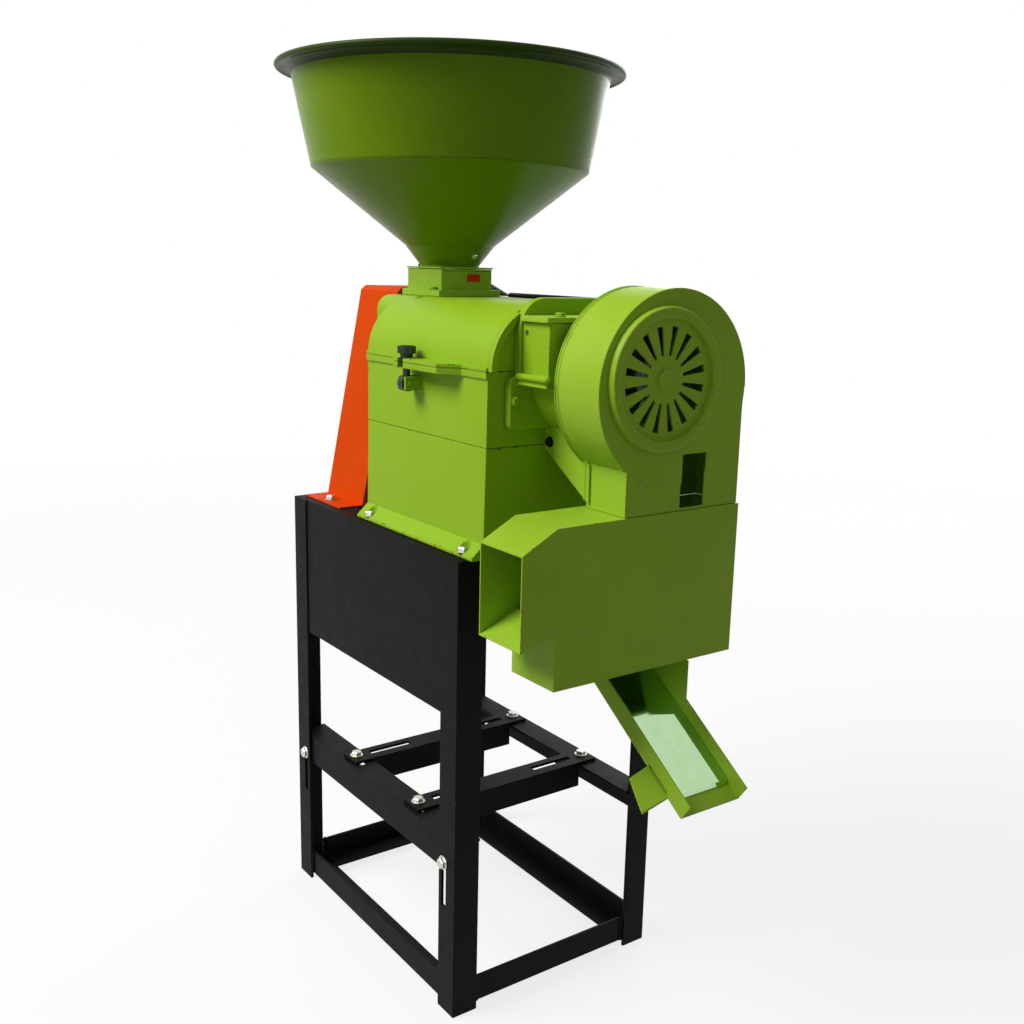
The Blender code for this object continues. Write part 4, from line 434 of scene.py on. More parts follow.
def settle(name, shape, finish, body, replaced=(), crease=CREASE):
    """Turn a bmesh into a smooth shaded piece with a finish, on a body of the machine."""
    mesh = bpy.data.meshes.new(name)
    shape.to_mesh(mesh)
    shape.free()
    for old in ("custom_normal", "sharp_edge", "sharp_face"):
        if old in mesh.attributes:
            mesh.attributes.remove(mesh.attributes[old])
    mesh.shade_smooth()
    mesh.set_sharp_from_angle(angle=crease)
    mesh.materials.clear()
    mesh.materials.append(finish)
    piece = bpy.data.objects.new(name, mesh)
    bpy.context.scene.collection.objects.link(piece)
    normals = piece.modifiers.new("even_faces", "WEIGHTED_NORMAL")
    normals.keep_sharp = True
    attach(piece, body)
    if replaced:
        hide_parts(*replaced)


def plain_faces(source):
    """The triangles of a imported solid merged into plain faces, as a bmesh."""
    shape = bmesh.new()
    shape.from_mesh(source.data)
    bmesh.ops.remove_doubles(shape, verts=shape.verts, dist=WELD)
    bmesh.ops.dissolve_limit(shape, angle_limit=FLAT, verts=shape.verts, edges=shape.edges)
    return shape


print("corners over", round(math.degrees(CREASE)), "degrees will be rounded")

# %% [markdown]
# A corner with a very short edge beside it stays sharp, because rounding it would fold the mesh
# over itself. Where a face is folded all the same, its outline runs over itself, and that can be
# looked for. The copy is then made again, and leaves the corners near that place sharp.

# %% Round the edges of a solid
ROUND_STEPS = 2
ROOM = 2.1
AWAY = 2.5
ATTEMPTS = 10


def folds(shape):
    """Places where the outline of a face crosses itself."""
    found = []
    for face in shape.faces:
        drop = max(range(3), key=lambda i: abs(face.normal[i]))
        points = [corner.co for corner in face.verts]
        flat = [Vector([p[i] for i in range(3) if i != drop]) for p in points]
        count = len(flat)
        for i in range(count):
            for j in range(i + 2, count):
                after = (j + 1) % count
                if after == i:
                    continue
                if intersect_line_line_2d(flat[i], flat[i + 1], flat[j], flat[after]):
                    found += [points[i], points[i + 1], points[j], points[after]]
    return [point.copy() for point in found]


def near_line(point, line):
    """How far a point is from an edge."""
    start, end = (corner.co for corner in line.verts)
    along = end - start
    part = max(0.0, min(1.0, (point - start).dot(along) / along.length_squared))
    return (start + along * part - point).length


def roundable(shape, radius, kept_sharp):
    """The corners of a solid that have room for a radius and aren't near a fold."""
    corners = []
    for line in shape.edges:
        if not line.is_manifold or line.calc_face_angle(0.0) <= CREASE:
            continue
        around = [near for corner in line.verts for near in corner.link_edges]
        if min(near.calc_length() for near in around) <= ROOM * radius:
            continue
        if all(near_line(point, line) > AWAY * radius for point in kept_sharp):
            corners.append(line)
    return corners


def rounded_copy(node, finish, radius_mm):
    """The solid of a node with its corners rounded, standing in for it."""
    source = nodes[node]
    radius = radius_mm / 1000
    kept_sharp = []
    for attempt in range(ATTEMPTS):
        shape = plain_faces(source)
        corners = roundable(shape, radius, kept_sharp)
        made = bmesh.ops.bevel(
            shape,
            geom=corners,
            offset=radius,
            offset_type="OFFSET",
            segments=ROUND_STEPS,
            profile=0.5,
            affect="EDGES",
            clamp_overlap=False,
        )
        crossed = folds(shape)
        if not crossed:
            break
        kept_sharp += crossed
        if attempt < ATTEMPTS - 1:
            shape.free()
    print(node, len(corners), "corners rounded, attempt", attempt + 1, "folds", len(crossed))
    edge = shape.loops.layers.float.new("edge")
    for face in made["faces"]:
        for loop in face.loops:
            loop[edge] = 1.0
    settle(node + "_surface", shape, finish, source["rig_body"], [node])


print("a corner is rounded in", ROUND_STEPS, "steps")

# %% [markdown]
# Each solid gets the radius that its making leaves: under 1 mm on 2 mm sheet and on rolled
# angle, 1 to 2 mm on the castings. The table gives the finish and the radius in millimetres, and
# the posts and rails of the stand, which are all alike, are added to it by their names.

# %% Dress the solids
SHEET_ROUND = 0.7
ANGLE_ROUND = 0.8
CAST_ROUND = 1.8
MACHINED_ROUND = 1.0
THIN_ROUND = 0.3
dressed = {
    "head_base": (cast_lime, CAST_ROUND),
    "head_body": (cast_lime, MACHINED_ROUND),
    "top_cover": (cast_lime, MACHINED_ROUND),
    "outlet_housing": (cast_lime, MACHINED_ROUND),
    "outlet_lid": (sheet_lime, 1.2),
    "feed_duct": (sheet_lime, 0.6),
    "feed_gate": (sheet_lime, THIN_ROUND),
    "fan_housing": (sheet_lime, SHEET_ROUND),
    "inlet_grille": (sheet_lime, THIN_ROUND),
    "transfer_duct": (sheet_lime, SHEET_ROUND),
    "separator_box": (sheet_lime, SHEET_ROUND),
    "rice_chute": (sheet_lime, SHEET_ROUND),
    "side_spout": (sheet_lime, SHEET_ROUND),
    "belt_guard": (guard_orange, SHEET_ROUND),
    "front_panel": (frame_black, 0.5),
    "cover_handle": (handle_black, 0.4),
    # The sieve's green tint is a painted reflection.
    "sieve_plate": (sieve_sheet_green_painted_reflection, THIN_ROUND),
    # The knob's dark green is painted shade.
    "clamp_knob": (clamp_iron_dark_painted_shade, 0.8),
    "drive_pulley": (turned_iron, 0.6),
}
STAND_NAMES = ("leg_", "top_rail", "mid_rail", "foot_rail", "motor_rail")
for name in nodes:
    if name.startswith(STAND_NAMES) and "bolt" not in name:
        dressed[name] = (frame_black, ANGLE_ROUND)
for name, (finish, radius) in dressed.items():
    rounded_copy(name, finish, radius)
print(len(dressed), "solids with rounded edges")

# %% [markdown]
# Nobody sees the shaft, its bearings and what turns on it whole, so they keep their imported shape.
# They still need a finish, because the cover opens, so the material slot of each is filled with
# another material. A imported solid may not be moved or remodelled here, but its material slot can
# be filled with another material.

# %% Finish the solids that keep their shape
kept_finish = {
    "main_shaft": turned_steel,
    "bearing_left": turned_steel,
    "bearing_right": turned_steel,
    "bran_screen": pressed_steel,
    "feed_screw": turned_iron,
    "milling_roller": turned_iron,
    "fan_impeller": pressed_steel,
    "pressure_flap": pressed_steel,
    "hinge_pin": turned_steel,
    "clamp_pin": cast_lime,
    # The eye bolt's dark green is painted shade.
    "clamp_eye_bolt": clamp_iron_dark_painted_shade,
}
for name, finish in kept_finish.items():
    nodes[name].data.materials.clear()
    nodes[name].data.materials.append(finish)
print(len(kept_finish), "solids with a new finish")

# %% [markdown]
# ## Turned shapes
# A bowl, a cone, a ring and a washer are all a flat outline spun about a line. The Screw modifier
# does that, but its seam and its normals need care for a closed outline. Spinning the points in
# code gives a closed mesh straight away, and one function serves for every round piece. The
# outline is a list of (distance from the axis, height), and the axis may point any way.

# %% Spin an outline
def spun(outline, at, axis=(0, 0, 1), steps=96):
    """A closed outline of (radius, height) turned about an axis, as a bmesh."""
    shape = bmesh.new()
    turn = Vector(axis).normalized().to_track_quat("Z", "Y").to_matrix()
    origin = Vector(at)
    rings = []
    for step in range(steps):
        angle = 2 * math.pi * step / steps
        ring = []
        for radius, height in outline:
            local = Vector((radius * math.cos(angle), radius * math.sin(angle), height))
            ring.append(shape.verts.new(origin + turn @ local))
        rings.append(ring)
    count = len(outline)
    for step in range(steps):
        here = rings[step]
        there = rings[(step + 1) % steps]
        for i in range(count):
            j = (i + 1) % count
            shape.faces.new((here[i], here[j], there[j], there[i]))
    bmesh.ops.recalc_face_normals(shape, faces=shape.faces)
    return shape


def arc(centre, radius, start, turn, steps):
    """Points of an outline along an arc, with angles in degrees."""
    points = []
    for i in range(steps + 1):
        angle = math.radians(start + turn * i / steps)
        points.append((centre[0] + radius * math.cos(angle), centre[1] + radius * math.sin(angle)))
    return points


print("a quarter circle in", len(arc((0, 0), 1, 0, 90, 8)), "points")

# %% [markdown]
# ## Hopper
# The hopper is two spun pieces of sheet: a wide bowl with its lip rolled over a wire, and a cone
# that ends in a short neck. Spun sheet is thin and evenly round, so both get a fine mesh, fine
# enough that the gloss runs along them without steps. The lip's enamel is drawn much darker, as
# painted shade under and over the roll, so the lip is a piece of its own with its own paint.

# %% Bowl and rim
HOPPER_BODY = nodes["hopper_bowl"]["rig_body"]
HOPPER_STEPS = 160
bowl_low, bowl_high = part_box("hopper_bowl")
HOPPER_X = (bowl_low.x + bowl_high.x) / 2
RIM_OUT = (bowl_high.x - bowl_low.x) / 2
ROLL_RADIUS = 0.0034
ROLL_CENTRE = (RIM_OUT - ROLL_RADIUS, bowl_high.z - ROLL_RADIUS)
BOWL_TOP_RADIUS = 0.2008
BREAK_RADIUS = 0.1775
BREAK_Z = bowl_low.z
SHEET = 0.0015
FLARE = 0.0085
FLARE_Z = ROLL_CENTRE[1] - FLARE - 0.0014
bowl_outline = [
    (BREAK_RADIUS, BREAK_Z),
    (BREAK_RADIUS + 0.0012, BREAK_Z + 0.0030),
    (BOWL_TOP_RADIUS, FLARE_Z),
    (BOWL_TOP_RADIUS - SHEET, FLARE_Z),
    (BREAK_RADIUS - SHEET, BREAK_Z),
]
settle(
    "hopper_bowl_spun",
    spun(bowl_outline, (HOPPER_X, 0, 0), steps=HOPPER_STEPS),
    hopper_lime_painted_shade,
    HOPPER_BODY,
    ["hopper_bowl"],
)
FLARE_CENTRE = (BOWL_TOP_RADIUS + FLARE, FLARE_Z)
# Each arc: centre, radius, first angle, turn and steps
rim_outline = arc(FLARE_CENTRE, FLARE, 180, -82, 8)
rim_outline += arc(ROLL_CENTRE, ROLL_RADIUS, 214, 300, 20)
rim_outline += arc(FLARE_CENTRE, FLARE + SHEET, 98, 82, 8)
# The rim's dark enamel is painted shade.
settle(
    "hopper_rim",
    spun(rim_outline, (HOPPER_X, 0, 0), steps=HOPPER_STEPS),
    rim_lime_painted_shade,
    HOPPER_BODY,
)
print("hopper rim", round(2000 * RIM_OUT), "mm across")

# %% [markdown]
# The cone's outline goes down its outside, through the neck, and back up its inside. The points a
# millimetre or two apart at each bend make the sheet turn there in a short curve. A sloping wall
# is wider across the axis than the sheet is thick, so its inside is set back by more.

# %% Cone and neck
FUNNEL_RADIUS = 0.0563
FUNNEL_Z = 0.918
NECK_RADIUS = 0.0385
NECK_Z = 0.896
NECK_INSIDE = NECK_RADIUS - SHEET
SLOPING_WALL = 1.7 * SHEET
CONE_CREASE = math.radians(24)
PLATE_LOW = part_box("hopper_funnel")[0].z
cone_outline = [
    (BREAK_RADIUS + 0.0010, BREAK_Z - 0.0003),
    (BREAK_RADIUS, BREAK_Z - 0.0022),
    (FUNNEL_RADIUS + 0.0012, FUNNEL_Z + 0.001),
    (FUNNEL_RADIUS, FUNNEL_Z - 0.001),
    (NECK_RADIUS + 0.0012, NECK_Z),
    (NECK_RADIUS, NECK_Z - 0.0015),
    (NECK_RADIUS, PLATE_LOW + 0.0020),
    (NECK_INSIDE, PLATE_LOW + 0.0020),
    (NECK_INSIDE, NECK_Z),
    (FUNNEL_RADIUS - SLOPING_WALL, FUNNEL_Z + 0.001),
    (BREAK_RADIUS - SLOPING_WALL, BREAK_Z - 0.0003),
]
settle(
    "hopper_cone_spun",
    spun(cone_outline, (HOPPER_X, 0, 0), steps=HOPPER_STEPS),
    hopper_lime_painted_shade,
    HOPPER_BODY,
    ["hopper_funnel"],
    crease=CONE_CREASE,
)
print("hopper neck", round(2000 * NECK_RADIUS), "mm across")

# %% [markdown]
# The neck is welded to a flat plate that lies on the feed duct. A cube primitive is quicker than
# an outline for a plate, but its edges would be perfectly sharp, so they are bevelled.

# %% Plate under the neck
DUCT_HALF = (0.0415, 0.0385)
PLATE_PAST = 0.004
PLATE_THICK = 0.002
PLATE_ROUND = 0.0004
shape = bmesh.new()
bmesh.ops.create_cube(shape, size=1.0)
plate_size = Vector((2 * DUCT_HALF[0], 2 * DUCT_HALF[1] + PLATE_PAST, PLATE_THICK))
bmesh.ops.scale(shape, vec=plate_size, verts=shape.verts)
plate_at = (HOPPER_X, 0, PLATE_LOW + PLATE_THICK / 2)
bmesh.ops.translate(shape, vec=plate_at, verts=shape.verts)
bmesh.ops.bevel(
    shape, geom=shape.edges[:], offset=PLATE_ROUND, segments=2, profile=0.5, affect="EDGES"
)
settle("neck_plate", shape, sheet_lime, HOPPER_BODY)
print("neck plate", [round(1000 * v, 1) for v in plate_size], "mm")

# %% [markdown]
# ## Bolts
# The machine is held together with zinc plated hexagon bolts, each on a flat washer. A bolt is
# three shapes: a hexagon with its top corners turned off, a washer, and a shank with thread. The
# thread is drawn as rings and not as a true helix, since at this size nobody can tell. The sizes
# of its parts are shares of the thread's diameter, as in a table of standard bolts.

# %% Shares of a bolt's diameter
HEX_RADIUS = 0.9
HEX_HIGH = 0.6
NUT_HIGH = 0.75
WASHER_THICK = 0.15
WASHER_HOLE = 0.45
WASHER_RADIUS = 1.1
WASHER_CUT = 0.05
THREAD_PITCH = 0.156
THREAD_ROOT = 0.43
THREAD_TOP = 0.5
THREAD_TIP = 0.42
THREAD_PAST = 0.35
M8 = 0.008
CORNER_CUT = 0.16
CORNER_LEFT = 0.86
WASHER_STEPS = 28
THREAD_STEPS = 20
TINY = 0.0005
print("an 8 mm bolt has a hexagon", round(2000 * M8 * HEX_RADIUS, 1), "mm over its corners")

# %% Bolt shapes
def hexagon(shape, at, turn, radius, low, high, chamfer=True):
    """A six-sided block, with its upper corners turned off if it is a head."""
    levels = [(radius, low), (radius, high)]
    if chamfer:
        shoulder = (radius, high - CORNER_CUT * radius)
        levels = [(radius, low), shoulder, (CORNER_LEFT * radius, high)]
    rings = []
    for size, height in levels:
        ring = []
        for i in range(6):
            angle = math.pi * i / 3 + math.pi / 6
            local = Vector((size * math.cos(angle), size * math.sin(angle), height))
            ring.append(shape.verts.new(at + turn @ local))
        rings.append(ring)
    shape.faces.new(list(reversed(rings[0])))
    shape.faces.new(rings[-1])
    for low_ring, high_ring in zip(rings[:-1], rings[1:]):
        for i in range(6):
            j = (i + 1) % 6
            shape.faces.new((low_ring[i], low_ring[j], high_ring[j], high_ring[i]))


def add_to(shape, extra):
    """Move a finished bmesh into another one that is being made."""
    mesh = bpy.data.meshes.new("extra")
    extra.to_mesh(mesh)
    extra.free()
    shape.from_mesh(mesh)
    bpy.data.meshes.remove(mesh)


def hex_bolt(name, seat, axis, body, grip=None, size=M8, finish=zinc, replaced=()):
    """A bolt head and washer on a seat; with a grip length, also the threaded end and its nut."""
    shape = bmesh.new()
    at = Vector(seat)
    turn = Vector(axis).normalized().to_track_quat("Z", "Y").to_matrix()
    flat = HEX_RADIUS * size
    washer = WASHER_THICK * size
    hole = WASHER_HOLE * size
    rim = WASHER_RADIUS * size
    cut = WASHER_CUT * size
    ring = [(hole, 0), (rim - cut, 0), (rim, cut), (rim, washer), (hole, washer)]
    add_to(shape, spun(ring, at, axis, WASHER_STEPS))
    hexagon(shape, at, turn, flat, washer, washer + HEX_HIGH * size)
    if grip:
        nut_low = -grip - NUT_HIGH * size
        hexagon(shape, at, turn, flat, nut_low, -grip, chamfer=False)
        end = nut_low - THREAD_PAST * size
        pitch = THREAD_PITCH * size
        top = THREAD_TOP * size
        thread = [(TINY, end), (THREAD_TIP * size, end)]
        height = end
        while height < nut_low:
            thread += [(top, height + pitch / 2), (THREAD_ROOT * size, height + pitch)]
            height += pitch
        thread += [(top, nut_low + pitch), (top, washer), (TINY, washer)]
        add_to(shape, spun(thread, at, axis, THREAD_STEPS))
    settle(name, shape, finish, body, replaced)


print("a washer has", WASHER_STEPS, "sides and a thread has", THREAD_STEPS)

# %% [markdown]
# The solid model already has a plain bolt at each place, so the detailed one takes its seat and
# grip from that solid's box: the head is 5.8 mm high, and the shank ends 9 mm past the nut's seat.

# %% Put the bolts in
UP = (0, 0, 1)
FORWARD = (0, -1, 0)
HEAD_HIGH = 0.0058
PAST_NUT = 0.009
bolts = [name for name in sorted(nodes) if "_bolt" in name and name != "clamp_eye_bolt"]
for name in bolts:
    low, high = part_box(name)
    middle = (low + high) / 2
    if name.startswith("leg_"):
        seat = Vector((middle.x, low.y + HEAD_HIGH, middle.z))
        grip = (high.y - PAST_NUT) - seat.y
        axis = FORWARD
    else:
        seat = Vector((middle.x, middle.y, high.z - HEAD_HIGH))
        grip = seat.z - (low.z + PAST_NUT)
        axis = UP
    body = nodes[name]["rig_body"]
    hex_bolt(name + "_detail", seat, axis, body, grip, replaced=[name])
print(len(bolts), "bolts")

# %% [markdown]
# ## Small fasteners of the head
# Smaller bolts hold the outlet flange to the head, the lid to the outlet, the feed duct to the
# cover and the transfer duct to its bracket. They are only heads and washers, because their
# shanks are inside the castings. The head was sprayed after it was put together, so most of them
# carry the same lime enamel. The screw in the hopper's neck came later and is bare zinc.

# %% Flange, lid, duct and neck fasteners
STAND_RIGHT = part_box("leg_front_right")[1].x
flange_low, flange_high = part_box("outlet_flange")
lid_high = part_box("outlet_lid")[1]
duct_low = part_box("feed_duct")[0]
transfer_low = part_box("transfer_duct")[0]
OUTWARD = (1, 0, 0)
M6, M5 = 0.006, 0.005
LID_BOLT_X, LID_BOLT_Y = lid_high.x - 0.009, 0.070
FLANGE_BOLT_Y, FLANGE_BOLT_Z = 0.0965, 0.752
DUCT_BOLT_X, DUCT_BOLT_Y, DUCT_BOLT_Z = HOPPER_X + 0.030, 0.0432, duct_low.z + 0.008
TRANSFER_BOLT_AT = (flange_high.x, transfer_low.y, 0.7038)
NECK_SCREW_AT = (HOPPER_X + 0.0470, 0.0065, 0.907)
NECK_SCREW_AXIS = (0.78, 0.11, -0.62)
for label, to in (("front", -1), ("back", 1)):
    for name, seat, axis, body, size in (
        ("lid_bolt", (LID_BOLT_X, to * LID_BOLT_Y, lid_high.z), UP, "machine", M6),
        ("flange_bolt", (flange_high.x, to * FLANGE_BOLT_Y, FLANGE_BOLT_Z), OUTWARD, "machine", M6),
        ("duct_bolt", (DUCT_BOLT_X, to * DUCT_BOLT_Y, DUCT_BOLT_Z), UP, HOPPER_BODY, M5),
    ):
        hex_bolt(f"{name}_{label}", seat, axis, body, size=size, finish=cast_lime)
hex_bolt(
    "transfer_bolt", TRANSFER_BOLT_AT, FORWARD, "machine",
    size=0.0055, finish=handle_black,
)
hex_bolt("neck_screw", NECK_SCREW_AT, NECK_SCREW_AXIS, HOPPER_BODY, size=0.0042)
print("8 small fasteners")

# %% [markdown]
# ## Cast plates
# The outlet flange is a plate with an arched top that follows the cover behind it, and a step
# where its foot widens. A plain block would not read as a casting, so the outline is drawn as
# points, each layer is drawn in a little toward the two faces, and so the edge comes out round.
# The same function makes the lip of the cover, the lug behind the neck and the stop on the duct.

# %% Plate from an outline
BORE_STEPS = 64
PART_WAY = 0.3
SHARPEST = -0.5


def drawn_in(outline, depth):
    """The outline moved inward by a depth, for points that go round anticlockwise."""
    moved = []
    for i, here in enumerate(outline):
        before = Vector(here) - Vector(outline[i - 1])
        after = Vector(outline[(i + 1) % len(outline)]) - Vector(here)
        first = Vector((before.y, -before.x)).normalized()
        second = Vector((after.y, -after.x)).normalized()
        out = (first + second) / (1 + max(SHARPEST, first.dot(second)))
        moved.append(Vector(here) - out * depth)
    return moved


def plate(outline, low, high, round_over, axis=0, bore=None):
    """A plate along X or Y with round edges, and a bore given as (centre, radius)."""
    shape = bmesh.new()

    def ring_of(points, level):
        ring = []
        for u, v in points:
            ring.append(shape.verts.new((level, u, v) if axis == 0 else (u, level, v)))
        return ring

    def skin(rings):
        for near, far in zip(rings[:-1], rings[1:]):
            for i in range(len(near)):
                j = (i + 1) % len(near)
                shape.faces.new((near[i], near[j], far[j], far[i]))

    part_way = PART_WAY * round_over
    layers = [(low, 1.0), (low + part_way, PART_WAY), (low + round_over, 0.0)]
    layers += [(high - round_over, 0.0), (high - part_way, PART_WAY), (high, 1.0)]
    outer = [ring_of(drawn_in(outline, part * round_over), level) for level, part in layers]
    skin(outer)
    holes = []
    if bore:
        centre, radius = bore
        circle = arc(centre, radius, 0, 360 - 360 / BORE_STEPS, BORE_STEPS - 1)
        holes = [ring_of(circle, low), ring_of(circle, high)]
        skin(holes)
    for end in (0, -1):
        rims = [outer[end]] + ([holes[end]] if holes else [])
        lines = []
        for rim in rims:
            for i in range(len(rim)):
                lines.append(shape.edges.get((rim[i - 1], rim[i])))
        bmesh.ops.triangle_fill(shape, edges=lines, use_beauty=True)
    bmesh.ops.recalc_face_normals(shape, faces=shape.faces)
    bmesh.ops.dissolve_limit(shape, angle_limit=FLAT, verts=shape.verts, edges=shape.edges)
    return shape


def mirrored(outline):
    """The outline on the other side of the shaft, still anticlockwise."""
    return [(-y, z) for y, z in reversed(outline)]


print("a plate's bore has", BORE_STEPS, "sides")

# %% Outlet flange
FOOT_HALF = 0.103
ARCH_HALF = 0.0915
STEP_Z = 0.7775
ARCH_TOP = 0.8630
ARCH_ROUND = 0.034
BORE_RADIUS = 0.060
CAST_EDGE = 0.0016
shaft_low, shaft_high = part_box("main_shaft")
SHAFT_AT = (0.0, (shaft_low.z + shaft_high.z) / 2)
half = [(FOOT_HALF - 0.004, flange_low.z), (FOOT_HALF, flange_low.z + 0.004)]
half += [(FOOT_HALF, STEP_Z - 0.003), (FOOT_HALF - 0.003, STEP_Z), (ARCH_HALF, STEP_Z + 0.0015)]
half += arc((ARCH_HALF - ARCH_ROUND, ARCH_TOP - ARCH_ROUND), ARCH_ROUND, 0, 90, 12)
bore = (SHAFT_AT, BORE_RADIUS)
settle(
    "outlet_flange_cast",
    plate(half + mirrored(half), flange_low.x, flange_high.x, CAST_EDGE, bore=bore),
    cast_lime,
    "machine",
    ["outlet_flange"],
)
print("flange", round(1000 * (ARCH_TOP - flange_low.z), 1), "mm high")

# %% [markdown]
# The cover's casting ends in a lip that reaches a little past its end face and shades the joint
# with the flange. It follows the cover's round shoulders and stops before the flange's arch, so
# that the cover can still swing up. It is two curved strips, the second a mirror of the first.

# %% Lip on the cover's end
COVER_HALF = 0.1253
COVER_ROUND = 0.070
LIP_WIDE = 0.008
LIP_LONG = 0.0068
LIP_SUNK = 0.0008
LIP_EDGE = 0.0010
cover_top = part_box("top_cover")[1].z
shoulder = (COVER_ROUND - COVER_HALF, cover_top - COVER_ROUND)
LIP_FOOT = shoulder[1] - 0.0018
front_lip = [(-COVER_HALF, LIP_FOOT), (LIP_WIDE - COVER_HALF, LIP_FOOT)]
front_lip += arc(shoulder, COVER_ROUND - LIP_WIDE, 180, -50, 10)
front_lip += arc(shoulder, COVER_ROUND, 119, 61, 12)
for label, outline in (("front", front_lip), ("back", mirrored(front_lip))):
    strip = plate(outline, flange_low.x - LIP_SUNK, flange_low.x + LIP_LONG, LIP_EDGE)
    settle(f"cover_lip_{label}", strip, cast_lime, HOPPER_BODY)
print("cover lip", 1000 * LIP_LONG, "mm past the cover's end")

# %% [markdown]
# Behind the neck a wedge lies on the cover, in black enamel that is painted shade there, and on
# the duct's end there is a small orange stop for the gate. Both are only a few millimetres thick,
# and so they are plates too: the lug is drawn from the side and the stop from the end.

# %% Lug behind the neck and stop on the duct
LUG_THICK_END = STAND_RIGHT - 0.300
LUG_THIN_END = STAND_RIGHT - 0.243
LUG_LOW = cover_top + 0.0002
LUG_SIDES = (0.0725, 0.0805)
lug = [(LUG_THICK_END, LUG_LOW), (LUG_THIN_END, LUG_LOW), (LUG_THIN_END, LUG_LOW + 0.002)]
lug += [(STAND_RIGHT - 0.286, 0.8712), (LUG_THICK_END, 0.8722)]
wedge = plate(lug, *LUG_SIDES, 0.0008, axis=1)
# The lug's black is painted shade.
settle("neck_lug_black_painted_shade", wedge, frame_black, HOPPER_BODY)
STOP_AT = HOPPER_X + DUCT_HALF[0]
STOP_THICK = 0.0018
STOP_Y = (0.0005, 0.0195)
STOP_Z = (0.8746, 0.8838)
stop = [(STOP_Y[i], STOP_Z[j]) for i, j in ((0, 0), (1, 0), (1, 1), (0, 1))]
tag = plate(stop, STOP_AT, STOP_AT + STOP_THICK, 0.0004)
settle("duct_stop", tag, guard_orange, HOPPER_BODY)
print("lug", round(1000 * (LUG_THIN_END - LUG_THICK_END)), "mm long, and stop")

# %% [markdown]
# ## Seams, welds and ridges
# Sheet drums have a rolled seam at each end, ducts are joined by a weld bead, and a casting often
# has a half-round ridge. All of these are a round bar along a line. A curve with a bevel depth
# would draw them too. A mesh is chosen because it goes straight into the model, can swell and
# shrink along its length, as a weld does, and closes its own ends. DOME holds how far past the
# end each of its last rings lies and how wide it is, as shares of the bar's radius.

# %% Bar along a line
DOME = ((0.8, 0.45), (0.4, 0.85))


def bar(points, radius, sides=8, swell=0.0, pitch=0.004):
    """A round bar with domed ends along a line of points; swell makes the ripples of a weld."""
    shape = bmesh.new()
    line = [Vector(point) for point in points]
    first = (line[1] - line[0]).normalized()
    last = (line[-1] - line[-2]).normalized()
    stations = [(line[0] - first * radius * past, size) for past, size in DOME]
    stations += [(point, 1.0) for point in line]
    stations += [(line[-1] + last * radius * past, size) for past, size in reversed(DOME)]
    across = first.orthogonal().normalized()
    gone = 0.0
    rings = []
    for i, (point, size) in enumerate(stations):
        after = stations[min(i + 1, len(stations) - 1)][0]
        along = (after - stations[max(i - 1, 0)][0]).normalized()
        across = (across - along * across.dot(along)).normalized()
        other = along.cross(across)
        if i:
            gone += (point - stations[i - 1][0]).length
        reach = radius * size * (1 + swell * math.sin(2 * math.pi * gone / pitch))
        ring = []
        for step in range(sides):
            angle = 2 * math.pi * step / sides
            out = across * math.cos(angle) + other * math.sin(angle)
            ring.append(shape.verts.new(point + reach * out))
        rings.append(ring)
    for near, far in zip(rings[:-1], rings[1:]):
        for i in range(sides):
            j = (i + 1) % sides
            shape.faces.new((near[i], near[j], far[j], far[i]))
    shape.faces.new(list(reversed(rings[0])))
    shape.faces.new(rings[-1])
    bmesh.ops.recalc_face_normals(shape, faces=shape.faces)
    return shape


def between(start, end, count):
    """Evenly spaced points from start to end."""
    return [Vector(start).lerp(Vector(end), i / count) for i in range(count + 1)]


print("a bar's end is drawn in", len(DOME), "steps")

# %% Seams of the drum and the duct
FAN_MIDDLE = (0.018, 0.773)
FAN_RADIUS = 0.1042
DRUM_BACK = STAND_RIGHT + 0.0762
DRUM_FRONT = STAND_RIGHT + 0.1510
SEAM_START, SEAM_TURN, SEAM_STEPS = -1, 235, 96
for label, x, seam_radius, radius in (
    ("back", DRUM_BACK + 0.0016, FAN_RADIUS, 0.0012),
    ("inner", DRUM_BACK + 0.0062, FAN_RADIUS, 0.0007),
    ("front", DRUM_FRONT - 0.0014, FAN_RADIUS - 0.0003, 0.0013),
):
    circle = arc(FAN_MIDDLE, seam_radius, SEAM_START, SEAM_TURN, SEAM_STEPS)
    seam = bar([(x, y, z) for y, z in circle], radius)
    settle(f"drum_seam_{label}", seam, sheet_lime, "machine")
JOINT_X = STAND_RIGHT + 0.0848
JOINT_Y = transfer_low.y + 0.0012
JOINT_Z = (0.6500, 0.6925)
points = between((JOINT_X, JOINT_Y, JOINT_Z[0]), (JOINT_X, JOINT_Y, JOINT_Z[1]), 44)
bead = bar(points, 0.0022, 10, swell=0.10, pitch=0.0032)
settle("duct_weld", bead, sheet_lime, "machine")
print("three seams and a weld")

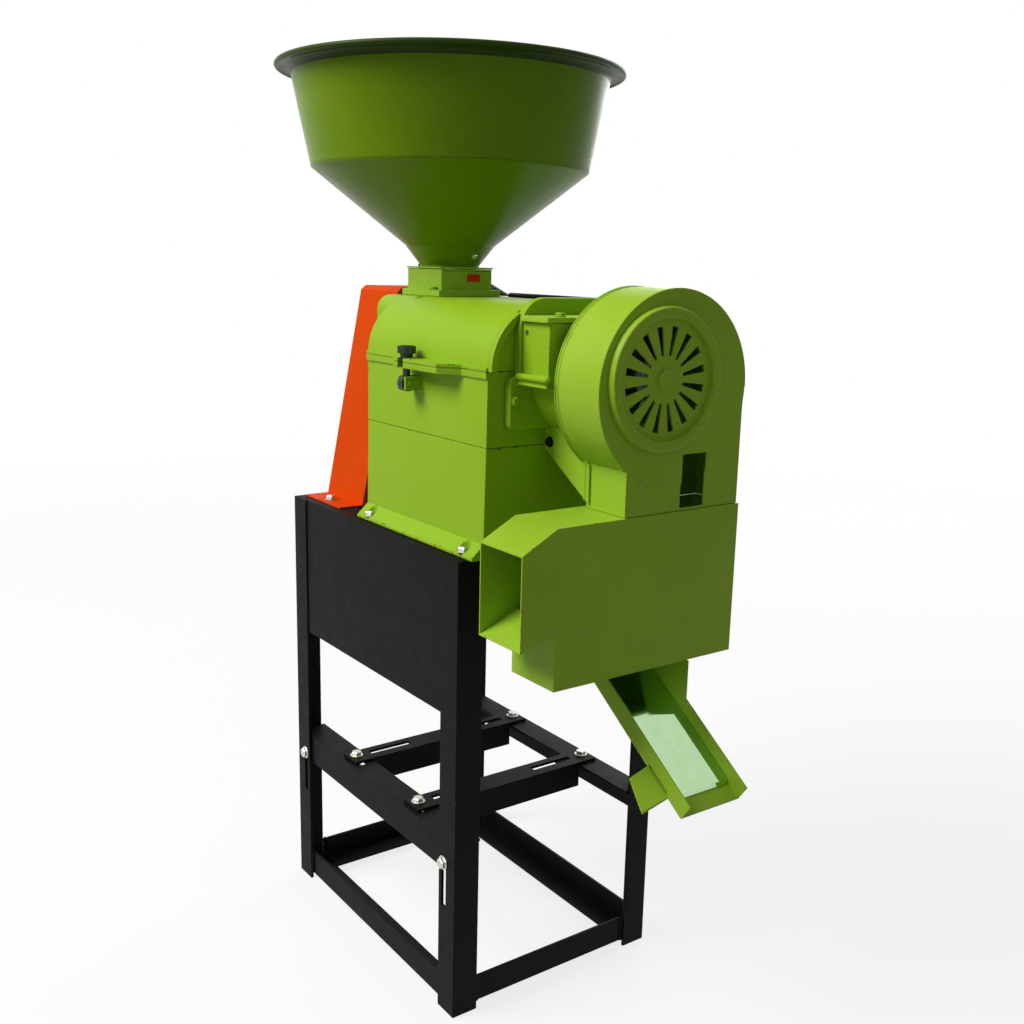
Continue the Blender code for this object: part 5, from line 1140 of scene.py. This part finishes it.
# %% [markdown]
# The stand's rails are welded to its posts. Each post has two beads on a rail's height: one where
# the flange of the post ends on the long rail, and one that fills the gap to the short rail. At
# the top the front panel covers the first, so only the back posts have it there. All the beads
# are one piece, because they are the same metal and paint as the stand.

# %% Welds of the stand
ANGLE_WIDE = 0.035
ANGLE_THICK = 0.004
NEAR_BEAD = 0.0019
SIDE_BEAD = 0.0028
BEAD_SHORT = 0.002
BEAD_STEPS = 24
post_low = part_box("leg_front_left")[0]
foot_low, foot_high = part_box("foot_rail_front")
rail_low, rail_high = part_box("top_rail_front")
welds = bmesh.new()
for low, high in ((foot_low.z, foot_high.z), (rail_low.z, rail_high.z)):
    for post_x, to_x in ((post_low.x, 1), (STAND_RIGHT, -1)):
        for post_y, to_y in ((post_low.y, 1), (-post_low.y, -1)):
            near_x = post_x + to_x * (ANGLE_WIDE + 0.0006)
            near_y = post_y + to_y * (ANGLE_THICK - 0.0008)
            side_x = post_x + to_x * (ANGLE_THICK + 0.0007)
            side_y = post_y + to_y * (ANGLE_WIDE + 0.0023)
            beads = [(near_x, near_y, NEAR_BEAD), (side_x, side_y, SIDE_BEAD)]
            if high == rail_high.z and to_y > 0:
                beads.pop(0)
            for x, y, radius in beads:
                points = between((x, y, low + BEAD_SHORT), (x, y, high - BEAD_SHORT), BEAD_STEPS)
                add_to(welds, bar(points, radius, swell=0.14, pitch=0.0034))
settle("stand_welds", welds, frame_black, "machine")
print("welds from", round(1000 * (foot_high.z - foot_low.z)), "mm long")

# %% [markdown]
# Two ridges run along the side of the outlet casting, a thick one and a thin one under it, where
# the two halves of its mould met. They lie half in the wall, so only their outer half shows.

# %% Ridges of the outlet casting
RIDGE_Y = -0.0938
housing_low, housing_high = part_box("outlet_housing")
for label, height, radius in (("high", 0.7792, 0.0040), ("low", 0.7712, 0.0014)):
    start = (housing_low.x + 0.001, RIDGE_Y, height)
    end = (housing_high.x - 0.003, RIDGE_Y, height)
    ridge = bar(between(start, end, 8), radius, 16)
    settle(f"outlet_ridge_{label}", ridge, cast_lime, "machine")
print("ridges on")
